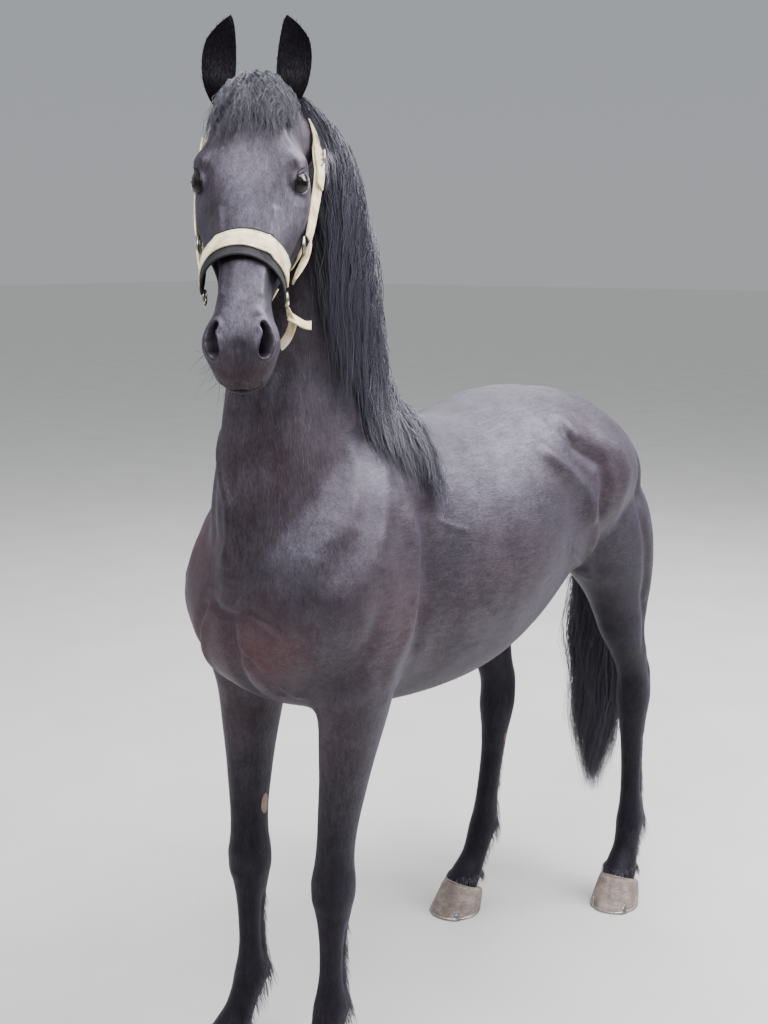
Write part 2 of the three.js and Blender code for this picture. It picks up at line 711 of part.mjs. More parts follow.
const MANE = {
  count: 20, half: 37, deep: 12, long: [430, 600],
  roots: [1.2, 8.5], // places along the neck, from the withers to the poll
  ends: [82, -170], // where the locks hang, from the back to the front
  floor: [1340, 1455], // lowest tips at the back and at the front
  shares: [0, 0.07, 0.2, 0.42, 0.7, 1],
};
const maneSolids = (leftSide) =>
  Array.from({ length: MANE.count }, (_, k) => {
    const share = k / (MANE.count - 1);
    const place = lerp(...MANE.roots, share);
    const crest = vec(...rowAt(NECK, place));
    const rise = vec(...rowAt(NECK, place + 0.3)).sub(vec(...rowAt(NECK, place - 0.3)));
    const up = X.clone().cross(rise).normalize().multiplyScalar(-1);
    const { y, z } = crest;
    const hang = lerp(...MANE.ends, share) + random(-8, 8);
    const low = lerp(...MANE.floor, THREE.MathUtils.clamp((80 - hang) / 250, 0, 1));
    const end = Math.max(z - random(...MANE.long), low + random(0, 45));
    const lift = k % 2 ? 17 : 33;
    const phase = random(0, 6);
    const raised = random(3, 10);
    const beside = random(8, 17);
    const path = MANE.shares.map((s, r) => {
      if (r === 0) return crest.clone().addScaledVector(up, -28);
      if (r === 1) return crest.clone().addScaledVector(up, raised).add(vec(beside, 0, 0));
      const down = lerp(z - 20, end, s);
      const back = lerp(hang, y, Math.exp(-4 * s)) + 7 * Math.sin(8 * s + phase);
      return vec(leftSide(back, down) + lift * (1 - 0.45 * s ** 2), back, down);
    });
    const outOf = () => vec(1, 0, 0.15);
    const crestwise = rise.normalize();
    const sideOf = (r, lie) =>
      r < 4 ? crestwise.clone().lerp(lie, [0, 0, 0.35, 0.8][r]).normalize() : lie;
    const half = MANE.half * random(0.92, 1.15);
    return lockSolid({ path, outOf, sideOf, half, deep: MANE.deep });
  });

const leftSide = leftSideOf(trunk);
nodes.neck = largest(
  join([nodes.neck, ...maneSolids(leftSide)]).subtract(grown(skull)).subtract(grown(nodes.torso)),
);
nodes.tail = largest(tailSolid().subtract(grown(nodes.torso)));

// Feather: short locks that fall behind and beside each fetlock, clear of the hoof

const FEATHER = {
  count: 5, half: 21, deep: 7, spread: 98,
  // height, distance from the axis of the leg
  lie: [[275, 16], [220, 46], [140, 62], [70, 68]],
};
const featherSolids = ({ axis, toeOut }) =>
  Array.from({ length: FEATHER.count }, (_, k) => {
    const turn = radians(lerp(-FEATHER.spread, FEATHER.spread, k / (FEATHER.count - 1)));
    const near = 1 - 0.26 * Math.sin(turn) ** 2;
    const outOf = () => vec(Math.sin(turn), Math.cos(turn), 0.2).applyAxisAngle(Z, radians(toeOut));
    const raise = random(0, 26);
    const path = FEATHER.lie.map(([z, off]) => {
      const [, x, y] = rowWhere(axis, Math.max(z, 150));
      return vec(Math.sin(turn) * off * near, Math.cos(turn) * off * near, z + raise)
        .applyAxisAngle(Z, radians(toeOut))
        .add(vec(x, y, 0));
    });
    return lockSolid({ path, outOf, half: FEATHER.half, deep: FEATHER.deep });
  });
for (const [name, leg] of legs) {
  const cannon = nodes[`cannon_${name}`];
  const hoof = grown(nodes[`hoof_${name}`]);
  nodes[`cannon_${name}`] = largest(join([cannon, ...featherSolids(leg)]).subtract(hoof));
}

// Chestnuts: horny plates on the inside of the forearms

const CHESTNUT = { height: 622, size: [8, 11, 30], back: 8 };
for (const name of ["fore_left", "fore_right"]) {
  const { axis, shape, toeOut } = LEGS[name];
  const way = name === "fore_left" ? -1 : 1;
  const [, x, y] = rowWhere(axis, CHESTNUT.height);
  const [, , , half] = rowWhere(shape, CHESTNUT.height);
  const plate = ball(CHESTNUT.size, 8, 6).translate(
    x + way * (half - 2), y + CHESTNUT.back, CHESTNUT.height,
  );
  nodes[`leg_${name}`] = nodes[`leg_${name}`].add(solidOf(plate));
}

// Halter: webbing laid over the head, with a padded noseband, rings and an adjuster

const STRAP = { thick: 4 };
const underStrap = grown(skull);
const webbing = grown(skull, GAP + STRAP.thick).subtract(underStrap);

// A block in the frame of the head, given by its reach: out, along the face and up.
const headBox = (out, along, up, slack = 0) =>
  headSolidOf(
    new THREE.BoxGeometry(out[1] - out[0], along[1] - along[0] + slack, up[1] - up[0] + slack)
      .translate((out[0] + out[1]) / 2, -(along[0] + along[1]) / 2, (up[0] + up[1]) / 2),
  );

// A strap is the webbing inside a block; the neck, with its mane, leaves room for it.
const strapRoom = grown(skull, 3 * GAP + STRAP.thick);
const strap = (out, along, up) => {
  nodes.neck = nodes.neck.subtract(strapRoom.intersect(headBox(out, along, up, 2 * GAP)));
  return largest(webbing.intersect(headBox(out, along, up)));
};

// A band round the nose that rests on its bridge and stands clear at the sides.
const NOSEBAND = { along: 368, wide: 35, pad: 53, half: 80, deep: 96, shift: -7, lean: -13 };
const bandSolid = (inset, thick, wide, from, low = 0) => {
  const half = NOSEBAND.half - inset;
  const deep = NOSEBAND.deep - inset;
  const band = new THREE.Shape().absellipse(0, 0, half, deep, from, Math.PI - from, false);
  band.absellipse(0, 0, half - thick, deep - thick, Math.PI - from, from, true);
  return headSolidOf(
    new THREE.ExtrudeGeometry(band, { depth: wide, bevelEnabled: false, curveSegments: 9 })
      .translate(0, 0, low - wide / 2)
      .rotateX(Math.PI / 2)
      .rotateX(radians(NOSEBAND.lean))
      .translate(NOSEBAND.shift, -NOSEBAND.along, 9 - NOSEBAND.deep),
  );
};
const bandEnd = radians(-8);
nodes.halter_noseband = bandSolid(0, STRAP.thick, NOSEBAND.wide, bandEnd).subtract(underStrap);
nodes.halter_pad = bandSolid(STRAP.thick + GAP, 6, NOSEBAND.pad, bandEnd, 6).subtract(underStrap);
nodes.halter_noseband = largest(nodes.halter_noseband);
nodes.halter_pad = largest(nodes.halter_pad);
nodes.halter_chin_strap = strap([-150, 150], [380, 406], [-230, -141]);
nodes.halter_jaw_strap = strap([-150, 150], [284, 310], [-260, -128]);

// The crown strap starts on each cheek, below the ear, and passes behind both ears.
const CROWN = { along: 0, up: -68, long: 166, wide: 26, lean: 36 };
const SIDE_STRAP = [[103, 313, -106], [92, 331, -105], [84, 344, -104]];
const CHEEK_LEFT = [[104, 270, -106], [112, 200, -107], [117, 130, -106], [112, 80, -106], [99, 40, -100]];
const STRAP_END = [[66, 396, -143], [78, 410, -158], [72, 430, -172], [56, 444, -192]];
const crownSlab = (wide, shell) =>
  shell.intersect(
    headSolidOf(
      new THREE.BoxGeometry(300, CROWN.long, wide)
        .rotateX(radians(CROWN.lean))
        .translate(0, -CROWN.along, CROWN.up),
    ),
  );
nodes.halter_crown_strap = largest(crownSlab(CROWN.wide, webbing));
const crownRoom = crownSlab(CROWN.wide + 2 * GAP, strapRoom);
for (const [name, way] of [["left", 1], ["right", -1]]) {
  const out = way > 0 ? [30, 150] : [-150, -30];
  nodes[`ear_${name}`] = largest(nodes[`ear_${name}`].subtract(crownRoom));
  nodes.neck = nodes.neck.subtract(grown(nodes[`ear_${name}`], 2 * GAP));
  if (name === "right") nodes.halter_cheek_right = strap(out, [50, 270], [-118, -92]).subtract(crownRoom);
}


// A strap that hangs free of the head, along rows of places out, along and up.
const looseStrap = (rows, steps, wide) => {
  const middles = smoothRows(rows, steps).map((row) => onHead(...row));
  const outwards = X.clone().transformDirection(headFrame);
  return loft(
    middles.map((p, k) => {
      const along = middles[Math.min(k + 1, steps)].clone().sub(middles[Math.max(k - 1, 0)]);
      const across = along.normalize().clone().cross(outwards).normalize();
      const face = across.clone().cross(along);
      return [[1, 1], [-1, 1], [-1, -1], [1, -1]].map(([a, b]) =>
        p.clone().addScaledVector(across, (a * wide) / 2).addScaledVector(face, b * STRAP.thick / 2),
      );
    }),
  );
};
nodes.halter_cheek_left = looseStrap(CHEEK_LEFT, 7, 25).subtract(crownRoom).subtract(underStrap);
nodes.halter_strap_end = looseStrap(STRAP_END, 5, 20);
for (const [name, way] of [["left", 1], ["right", -1]]) {
  const rows = SIDE_STRAP.map(([out, along, up]) => [way * out, along, up]);
  nodes[`halter_side_${name}`] = looseStrap(rows, 3, 22).subtract(underStrap);
}

// The adjuster: a flat frame that the left cheek strap passes under
const ADJUSTER = { at: [121, 96, -106], wide: 40, long: 32, rim: 5, thick: 3 };
const adjusterSolid = () => {
  const { at, wide, long, rim, thick } = ADJUSTER;
  const frame = new THREE.Shape().moveTo(-long / 2, -wide / 2).lineTo(long / 2, -wide / 2);
  frame.lineTo(long / 2, wide / 2).lineTo(-long / 2, wide / 2).closePath();
  const inside = new THREE.Path().moveTo(rim - long / 2, rim - wide / 2);
  inside.lineTo(rim - long / 2, wide / 2 - rim).lineTo(long / 2 - rim, wide / 2 - rim);
  inside.lineTo(long / 2 - rim, rim - wide / 2).closePath();
  frame.holes.push(inside);
  return headSolidOf(
    new THREE.ExtrudeGeometry(frame, { depth: thick, bevelEnabled: false })
      .rotateX(Math.PI / 2)
      .rotateZ(Math.PI / 2)
      .translate(at[0], -at[1], at[2]),
  );
};
nodes.halter_adjuster = adjusterSolid();
nodes.neck = nodes.neck.subtract(grown(nodes.halter_adjuster, 2 * GAP));
nodes.neck = nodes.neck.subtract(crownRoom).subtract(grown(nodes.halter_cheek_left, 2 * GAP));
nodes.neck = largest(nodes.neck);

const ringSolid = (way, along, up, wide, least = 0) => {
  const edge = Math.max(headEdge(along, up), least);
  return headSolidOf(
    new THREE.TorusGeometry(wide, 2.8, 4, 10)
      .rotateY(Math.PI / 2)
      .translate(way * (edge + 8), -along, up),
  );
};
for (const [name, way] of [["left", 1], ["right", -1]]) {
  nodes[`halter_ring_cheek_${name}`] = ringSolid(way, 291, -106, 17).subtract(underStrap);
  nodes[`halter_ring_nose_${name}`] = ringSolid(way, 396, -121, 13, 60).subtract(underStrap);
}

const FINISHES = {
  coat: new THREE.MeshStandardMaterial({ color: 0x2a2628, roughness: 0.5 }),
  hair: new THREE.MeshStandardMaterial({ color: 0x1d1c20, roughness: 0.55 }),
  horn: new THREE.MeshStandardMaterial({ color: 0x6c635b, roughness: 0.7 }),
  eye: new THREE.MeshStandardMaterial({ color: 0x1a0f0a, roughness: 0.05 }),
  webbing: new THREE.MeshStandardMaterial({ color: 0xcbb994, roughness: 0.8 }),
  padding: new THREE.MeshStandardMaterial({ color: 0x26241f, roughness: 0.85 }),
  steel: new THREE.MeshStandardMaterial({ color: 0xa8a7a2, roughness: 0.35, metalness: 1 }),
};
const finishOf = (name) => {
  if (name.startsWith("hoof")) return FINISHES.horn;
  if (name.startsWith("eye")) return FINISHES.eye;
  if (name.includes("ring") || name.includes("adjuster")) return FINISHES.steel;
  if (name === "halter_pad") return FINISHES.padding;
  if (name.startsWith("halter")) return FINISHES.webbing;
  if (name === "tail") return FINISHES.hair;
  return FINISHES.coat;
};

const horse = new THREE.Group();
for (const [name, solid] of Object.entries(nodes)) {
  const mesh = new THREE.Mesh(geometryOf(solid), finishOf(name));
  mesh.name = name;
  horse.add(mesh);
}
horse.position.set(-MIDDLE[0], -MIDDLE[1], 0);

export default horse;
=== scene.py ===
"""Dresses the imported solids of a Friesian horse: skin, hair, eyes, hooves and a webbing halter.

The horse stands still and faces -Y, with its head turned to its left. Tables hold the same
driving dimensions as the solids, in millimetres, and everything in the scene is in metres.
"""

from __future__ import annotations

import logging
import math
from dataclasses import dataclass, field
from enum import Enum
from typing import Callable, Iterable, Sequence

import bmesh
import bpy
import numpy as np
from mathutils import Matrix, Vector
from mathutils.bvhtree import BVHTree

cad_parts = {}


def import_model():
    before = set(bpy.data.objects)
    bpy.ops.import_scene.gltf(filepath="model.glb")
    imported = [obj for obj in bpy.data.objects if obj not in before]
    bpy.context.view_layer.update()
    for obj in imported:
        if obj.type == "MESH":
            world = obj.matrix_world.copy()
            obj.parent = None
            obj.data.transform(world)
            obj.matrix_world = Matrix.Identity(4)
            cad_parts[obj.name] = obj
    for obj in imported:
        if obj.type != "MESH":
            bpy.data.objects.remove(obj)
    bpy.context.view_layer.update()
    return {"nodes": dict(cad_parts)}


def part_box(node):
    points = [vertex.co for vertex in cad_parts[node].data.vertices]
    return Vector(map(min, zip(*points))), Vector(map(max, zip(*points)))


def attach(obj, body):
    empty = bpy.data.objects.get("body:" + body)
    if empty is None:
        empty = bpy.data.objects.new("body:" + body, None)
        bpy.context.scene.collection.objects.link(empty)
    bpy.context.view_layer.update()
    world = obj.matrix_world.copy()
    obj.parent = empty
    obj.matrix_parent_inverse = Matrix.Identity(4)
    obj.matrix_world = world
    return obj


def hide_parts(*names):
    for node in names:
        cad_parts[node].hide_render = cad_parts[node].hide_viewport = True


LOG = logging.getLogger("horse")
MM = 0.001
FULL_TURN = 6.28  # the range of a random phase
GOLDEN_ANGLE = 2.39996  # spreads the locks of the tail evenly round it
Array = np.ndarray
Table = tuple[tuple[float, ...], ...]
Piece = bpy.types.Object
Finish = bpy.types.Material
Random = np.random.Generator


@dataclass(frozen=True)
class Swell:
    """A smooth swelling or hollow: its middle, its reach along each axis and its rise, in mm."""

    name: str
    at: tuple[float, float, float]
    reach: tuple[float, float, float]
    rise: float


# The torso: y, top, bottom, half width, height of the widest line, pinch above and below.
# The neck: crest x, y, z, throat x, y, z, half width, pinch above.
# The head: distance along the face, profile, jaw, half width, widest height, both pinches.
# The legs: height, fore, aft, half width. The tail: height, x, y, half depth, half width.
TORSO: Table = (
    (-366, 1175, 1120, 30, 1150, 1, 1), (-345, 1250, 1030, 90, 1140, 1, 1),
    (-300, 1350, 960, 150, 1135, 1.1, 0.95), (-225, 1440, 912, 196, 1130, 1.25, 0.9),
    (-140, 1500, 884, 212, 1125, 1.4, 0.9), (-60, 1538, 864, 216, 1115, 1.5, 0.9),
    (10, 1548, 851, 222, 1105, 1.45, 0.88), (100, 1520, 840, 240, 1100, 1.25, 0.88),
    (210, 1478, 835, 260, 1105, 1.1, 0.88), (320, 1459, 838, 272, 1125, 1, 0.9),
    (430, 1474, 854, 270, 1155, 0.95, 0.92), (565, 1497, 892, 254, 1190, 0.9, 0.95),
    (680, 1500, 946, 240, 1225, 0.88, 1), (780, 1491, 1002, 228, 1240, 0.88, 1),
    (880, 1465, 1052, 208, 1240, 0.9, 1), (975, 1424, 1096, 180, 1235, 0.95, 1),
    (1050, 1376, 1132, 138, 1238, 1, 1), (1100, 1330, 1168, 90, 1242, 1, 1),
    (1122, 1278, 1205, 36, 1242, 1, 1),
)

NECK: Table = (
    (0, 200, 1440, 0, -290, 1010, 120, 1.1), (0, 115, 1528, 0, -352, 1150, 132, 1.3),
    (0, 70, 1604, 0, -366, 1285, 122, 1.45), (0, 52, 1695, 0, -350, 1420, 108, 1.45),
    (0, 36, 1795, 0, -320, 1555, 98, 1.4), (2, 8, 1900, 0, -282, 1670, 92, 1.35),
    (6, -48, 2000, 0, -246, 1760, 90, 1.25), (12, -128, 2080, 0, -226, 1832, 88, 1.1),
    (20, -206, 2116, 14, -236, 1900, 80, 1), (30, -258, 2104, 34, -266, 1960, 60, 1),
)

HEAD: Table = (
    (-52, -48, -88, 34, -66, 1, 1), (-34, -22, -128, 60, -66, 0.9, 1),
    (5, -4, -168, 74, -58, 0.8, 1), (50, 8, -204, 82, -54, 0.75, 1.05),
    (100, 13, -232, 92, -52, 0.7, 1.1), (150, 13, -246, 99, -60, 0.65, 1.15),
    (195, 9, -246, 100, -72, 0.7, 1.1), (240, 4, -228, 98, -88, 0.85, 1),
    (290, 0, -198, 88, -92, 0.95, 0.95), (340, -2, -168, 72, -84, 0.95, 0.95),
    (390, -3, -146, 57, -70, 0.85, 1), (435, -4, -134, 53, -62, 0.8, 1),
    (475, -6, -130, 57, -60, 0.8, 0.95), (510, -11, -132, 62, -62, 0.85, 0.9),
    (540, -22, -134, 59, -70, 0.9, 0.85), (564, -40, -128, 46, -80, 0.9, 0.85),
    (578, -62, -116, 28, -88, 0.95, 1), (586, -76, -102, 10, -89, 1, 1),
)

FORE_SHAPE: Table = (
    (1170, 30, 40, 16), (1110, 74, 94, 50), (1040, 94, 114, 72), (980, 98, 112, 78),
    (930, 92, 98, 74), (850, 80, 80, 64), (760, 66, 64, 53), (680, 57, 54, 46), (600, 50, 47, 41),
    (545, 48, 46, 43), (500, 51, 51, 49), (465, 50, 53, 48), (432, 42, 49, 40), (400, 35, 43, 34),
    (350, 30, 38, 29), (295, 30, 37, 28), (255, 34, 43, 33), (220, 40, 52, 39), (188, 38, 48, 36),
    (150, 36, 43, 35), (115, 43, 47, 42), (84, 50, 48, 48), (34, 46, 44, 44),
)

HIND_SHAPE: Table = (
    (1330, 50, 60, 20), (1270, 130, 140, 60), (1190, 190, 192, 92), (1100, 204, 198, 106),
    (1010, 178, 172, 98), (930, 132, 128, 80), (860, 102, 98, 66), (800, 84, 82, 56),
    (740, 70, 72, 48), (690, 58, 74, 43), (655, 52, 80, 42), (620, 53, 72, 45), (588, 54, 62, 48),
    (555, 50, 54, 45), (515, 42, 48, 39), (465, 36, 44, 34), (395, 33, 42, 31), (310, 33, 43, 31),
    (260, 37, 48, 34), (218, 43, 56, 39), (186, 41, 51, 37), (150, 38, 45, 36), (115, 44, 47, 42),
    (84, 50, 48, 48), (34, 46, 44, 44),
)

TAIL: Table = (
    (1392, 0, 1030, 26, 30), (1385, 0, 1085, 34, 40), (1340, 0, 1142, 38, 46),
    (1260, -2, 1180, 42, 54), (1150, -5, 1200, 50, 68), (1000, -8, 1212, 62, 86),
    (820, -12, 1216, 68, 98), (620, -16, 1214, 64, 90), (440, -20, 1210, 50, 66),
    (300, -22, 1206, 26, 34), (236, -23, 1205, 5, 6),
)

TORSO_SWELLS: tuple[Swell, ...] = (
    Swell("shoulder blade", (140, -75, 1360), (120, 95, 150), 20),
    Swell("shoulder", (200, -185, 1200), (110, 95, 150), 22),
    Swell("point of shoulder", (150, -285, 1150), (75, 85, 95), 36),
    Swell("upper arm", (215, -120, 1030), (80, 100, 110), 22),
    Swell("breast muscle", (68, -345, 1070), (52, 80, 95), 30),
    Swell("elbow hollow", (230, 30, 1120), (90, 70, 170), -10),
    Swell("haunch", (215, 850, 1290), (120, 190, 150), 38),
    Swell("point of hip", (215, 600, 1400), (80, 75, 65), 22),
    Swell("flank hollow", (255, 590, 1200), (90, 80, 130), -18),
    Swell("buttock", (105, 1050, 1225), (80, 110, 130), 44),
)

HEAD_SWELLS: tuple[Swell, ...] = (
    Swell("orbit", (98, -180, -22), (30, 36, 24), 17),
    Swell("temple", (86, -105, -40), (30, 40, 30), -8),
    Swell("cheek", (88, -190, -150), (40, 90, 70), 10),
    Swell("cheek bone", (84, -265, -62), (26, 60, 22), 5),
    Swell("nose hollow", (52, -420, -75), (30, 60, 34), -6),
    Swell("nostril", (56, -535, -46), (24, 34, 28), 12),
    Swell("upper lip", (22, -582, -78), (30, 26, 22), 9),
    Swell("lower lip", (14, -556, -128), (34, 30, 20), 10),
    Swell("chin", (16, -505, -142), (30, 30, 22), 10),
)

# Where parts join, in mm, and how far round each place the skin is softened.
JOINTS = (
    ((0, -300, 1100), (230, 130, 230)),
    ((0, -190, 1400), (190, 170, 170)),
    ((0, -20, 1530), (110, 140, 70)),
    ((22, -262, 1990), (110, 110, 130)),
    ((14, -330, 1880), (90, 110, 110)),
    ((130, -135, 930), (150, 170, 120)),
    ((-150, -135, 930), (150, 170, 120)),
    ((115, 925, 1130), (170, 270, 190)),
    ((-115, 830, 1110), (170, 270, 190)),
    ((0, 900, 1040), (120, 220, 120)),
    ((175, -80, 1350), (90, 100, 130)),
)
# The slit of the left nostril: out, along the face, up, in mm.
NOSTRIL_PATH = np.array([(40.0, 509, -19), (45, 517, -27), (45, 528, -35), (40, 541, -43)])


@dataclass(frozen=True)
class Leg:
    """One leg: its sections, the way its toe points and its axis as height, x and y."""

    name: str
    shape: Table
    toe_out: float
    axis: Table


LEGS = (
    Leg("fore_left", FORE_SHAPE, 4, (
        (1170, 100, -160), (1080, 130, -150), (930, 130, -130), (760, 102, -124), (600, 78, -126),
        (485, 67, -126), (350, 73, -140), (220, 82, -158), (150, 84, -186), (84, 86, -220),
        (34, 87, -236))),
    Leg("fore_right", FORE_SHAPE, -20, (
        (1170, -100, -160), (1080, -134, -150), (930, -152, -130), (760, -166, -126),
        (600, -176, -124), (485, -179, -123), (350, -168, -138), (220, -154, -155),
        (150, -163, -182), (84, -176, -214), (34, -182, -230))),
    Leg("hind_left", HIND_SHAPE, 6, (
        (1330, 70, 900), (1200, 112, 928), (1100, 126, 946), (1010, 134, 976), (930, 140, 1012),
        (860, 143, 1028), (800, 145, 1042), (720, 144, 1090), (655, 141, 1120),
        (588, 140, 1130), (500, 142, 1128), (350, 147, 1124), (215, 151, 1116),
        (150, 153, 1092), (84, 155, 1056), (34, 156, 1040))),
    Leg("hind_right", HIND_SHAPE, -8, (
        (1330, -70, 880), (1200, -112, 850), (1100, -128, 796), (1010, -136, 768),
        (930, -140, 770), (860, -141, 786), (800, -140, 802), (720, -139, 826),
        (655, -138, 843), (588, -138, 848), (500, -142, 844), (350, -154, 835),
        (215, -165, 824), (150, -170, 794), (84, -177, 750), (34, -180, 728))),
)

POLL = np.array([23.0, -285.0, 2133.0])  # top of the head, between the ears
HEAD_TURN = math.radians(36)  # to the left
HEAD_SLOPE = math.radians(55)  # of the face, below the horizontal
EYE_ALONG, EYE_UP, EYE_RADIUS = 203.0, -38.0, 23.0
EAR_OUT, EAR_ALONG, EAR_UP, EAR_LENGTH, EAR_HALF = 67.0, 2.0, -28.0, 172.0, 33.0
MOUTH_LINE = ((468, -106), (500, -110), (532, -112), (558, -108), (574, -102))  # along, up
MOUTH_FRONT = (584.0, -100.0)


def unit(v: Array) -> Array:
    """Vectors along the last axis, brought to length one."""
    return v / np.maximum(np.linalg.norm(v, axis=-1, keepdims=True), 1e-12)


def circle(count: int) -> Array:
    """Angles spread evenly round a full turn."""
    return 2 * np.pi * np.arange(count) / count


def eased(path: Array, rounds: int) -> Array:
    """Takes sharp turns out of a path, given along its first axis, and keeps its ends."""
    for _ in range(rounds):
        path[1:-1] += 0.25 * (path[2:] + path[:-2] - 2 * path[1:-1])
    return path


def rows_at(rows: Table, places: Array) -> Array:
    """Reads a table smoothly between its rows.

    Args:
        rows: The table.
        places: Row numbers, which may lie between rows.

    Returns:
        One row for each place.
    """
    table = np.asarray(rows, float)
    last = len(table) - 1
    places = np.atleast_1d(np.asarray(places, float))
    i = np.clip(np.floor(places).astype(int), 0, last - 1)
    f = (places - i)[:, None]

    def at(k: Array) -> Array:
        return table[np.clip(k, 0, last)]

    rise = (at(i + 1) - at(i - 1)) / 2
    onward = (at(i + 2) - at(i)) / 2
    near, far = 2 * f**3 - 3 * f**2 + 1, 3 * f**2 - 2 * f**3
    return at(i) * near + at(i + 1) * far + rise * (f**3 - 2 * f**2 + f) + onward * (f**3 - f**2)


def rows_where(rows: Table, values: Array) -> Array:
    """Reads a table, sorted by its first column, at values of that column.

    Args:
        rows: The table.
        values: Values of the first column.

    Returns:
        One row for each value.
    """
    first = np.asarray(rows, float)[:, 0]
    number = np.arange(len(first), dtype=float)
    if first[0] > first[-1]:
        first, number = first[::-1], number[::-1]
    return rows_at(rows, np.interp(np.atleast_1d(values), first, number))


def axes_of_head() -> Array:
    """The head's own axes in the horse's frame, as columns: left, back to the poll, up.

    Returns:
        The three axes.
    """
    c, s = math.cos(HEAD_TURN), math.sin(HEAD_TURN)
    turn = np.array([[c, -s, 0], [s, c, 0], [0, 0, 1]])
    c, s = math.cos(HEAD_SLOPE), math.sin(HEAD_SLOPE)
    return turn @ np.array([[1, 0, 0], [0, c, -s], [0, s, c]])


HEAD_AXES = axes_of_head()


def on_head(out: Array, along: Array, up: Array) -> Array:
    """Places given out to the left, along the face and up from it, in the horse's frame."""
    local = np.stack(np.broadcast_arrays(out, -np.asarray(along, float), up), axis=-1)
    return POLL + local @ HEAD_AXES.T


def head_local(points: Array) -> Array:
    """Places of the horse's frame in the head's own: out, along the face, up."""
    local = (points - POLL) @ HEAD_AXES
    return local * np.array([1, -1, 1])


def on_face(points: Array) -> Array:
    """Which places of the horse's frame belong to the head."""
    local = head_local(points)
    down_face = (local[:, 1] > -20) & (local[:, 1] < 625)
    return down_face & (np.abs(local[:, 0]) < 130) & (local[:, 2] > -290) & (local[:, 2] < 60)


def rings_of(
    middle: Array, side: Array, up: Array, half: Array, above: Array, below: Array,
    pinch_up: Array, pinch_down: Array, sides: int,
) -> Array:
    """Sections of a body round a run of middles.

    Args:
        middle: Middles of the sections.
        side: Direction of each section's width.
        up: Direction of each section's height.
        half: Half widths.
        above: Heights above the middles.
        below: Depths below the middles.
        pinch_up: How much each upper half narrows.
        pinch_down: How much each lower half narrows.
        sides: Points of a section.

    Returns:
        The points, one section after another.
    """
    turn = circle(sides)
    across, rise = np.cos(turn), np.sin(turn)
    pinch = np.where(rise > 0, np.asarray(pinch_up)[:, None], np.asarray(pinch_down)[:, None])
    wide = np.asarray(half)[:, None] * np.sign(across) * np.abs(across) ** pinch
    high = np.where(rise > 0, np.asarray(above)[:, None], np.asarray(below)[:, None]) * rise
    return middle[:, None] + side[:, None] * wide[..., None] + up[:, None] * high[..., None]


def swollen(rings: Array, swells: Sequence[Swell]) -> Array:
    """Moves the points of sections out of their middles by the swells, on both sides.

    Args:
        rings: The sections, one after another.
        swells: The swells, as on the left side.

    Returns:
        The moved sections.
    """
    rise = np.zeros(rings.shape[:2])
    for swell in swells:
        for way in (1, -1):
            at = np.array(swell.at) * np.array([way, 1, 1])
            far = (rings - at) / np.array(swell.reach)
            rise += swell.rise * np.exp(-(far**2).sum(-1))
    return rings + unit(rings - rings.mean(1, keepdims=True)) * rise[..., None]


def turned(faces: Array) -> Array:
    """Faces that look the other way; a triangle gives its last corner twice."""
    three = faces[:, 2] == faces[:, 3]
    return np.where(three[:, None], faces[:, [2, 1, 0, 0]], faces[:, ::-1])


def outward(points: Array, faces: Array) -> Array:
    """Faces of a closed form, turned over where they look into it.

    Args:
        points: Places in mm of the horse's frame.
        faces: Corners of the faces.

    Returns:
        The faces, which all look out.
    """
    a, b, c, d = (points[faces[:, k]] for k in range(4))
    volume = np.einsum("ij,ij->i", a, np.cross(b, c)).sum()
    volume += np.einsum("ij,ij->i", a, np.cross(c, d)).sum()
    return faces if volume > 0 else turned(faces)


@dataclass
class Shell:
    """Points and faces of a mesh while it is being put together, in mm of the horse's frame."""

    points: list[Array] = field(default_factory=list)
    faces: list[Array] = field(default_factory=list)
    count: int = 0

    def add(self, points: Array, faces: Array) -> None:
        """Adds points and the faces between them."""
        self.points.append(points.reshape(-1, 3))
        self.faces.append(faces + self.count)
        self.count += self.points[-1].shape[0]

    def add_loft(self, rings: Array) -> None:
        """Adds a closed skin over sections that have the same number of points.

        Args:
            rings: The sections, one after another.
        """
        count, sides = rings.shape[:2]
        start = (np.arange(count - 1) * sides)[:, None]
        k = np.arange(sides)[None]
        after = (k + 1) % sides
        quads = np.stack(np.broadcast_arrays(
            start + k, start + after, start + sides + after, start + sides + k), -1).reshape(-1, 4)
        pole = count * sides
        k, after, last = k[0], after[0], (count - 1) * sides
        low = np.stack([np.full(sides, pole), after, k, k], -1)
        high = np.stack([np.full(sides, pole + 1), last + k, last + after, last + after], -1)
        points = np.concatenate([rings.reshape(-1, 3), rings[:1].mean(1), rings[-1:].mean(1)])
        faces = np.concatenate([quads, low, high])
        self.add(points, outward(points, faces))

    def add_hoop(self, rings: Array) -> None:
        """Adds a tube that closes on itself.

        Args:
            rings: The sections, one after another.
        """
        count, sides = rings.shape[:2]
        i, k = np.arange(count)[:, None], np.arange(sides)[None]
        j, m = (i + 1) % count, (k + 1) % sides
        quads = np.stack(np.broadcast_arrays(
            i * sides + k, i * sides + m, j * sides + m, j * sides + k), -1).reshape(-1, 4)
        points = rings.reshape(-1, 3)
        self.add(points, outward(points, quads))


def smooth_rows(rows: Table, count: int) -> Array:
    """A table read at evenly spread places."""
    return rows_at(rows, np.linspace(0, len(rows) - 1, count))


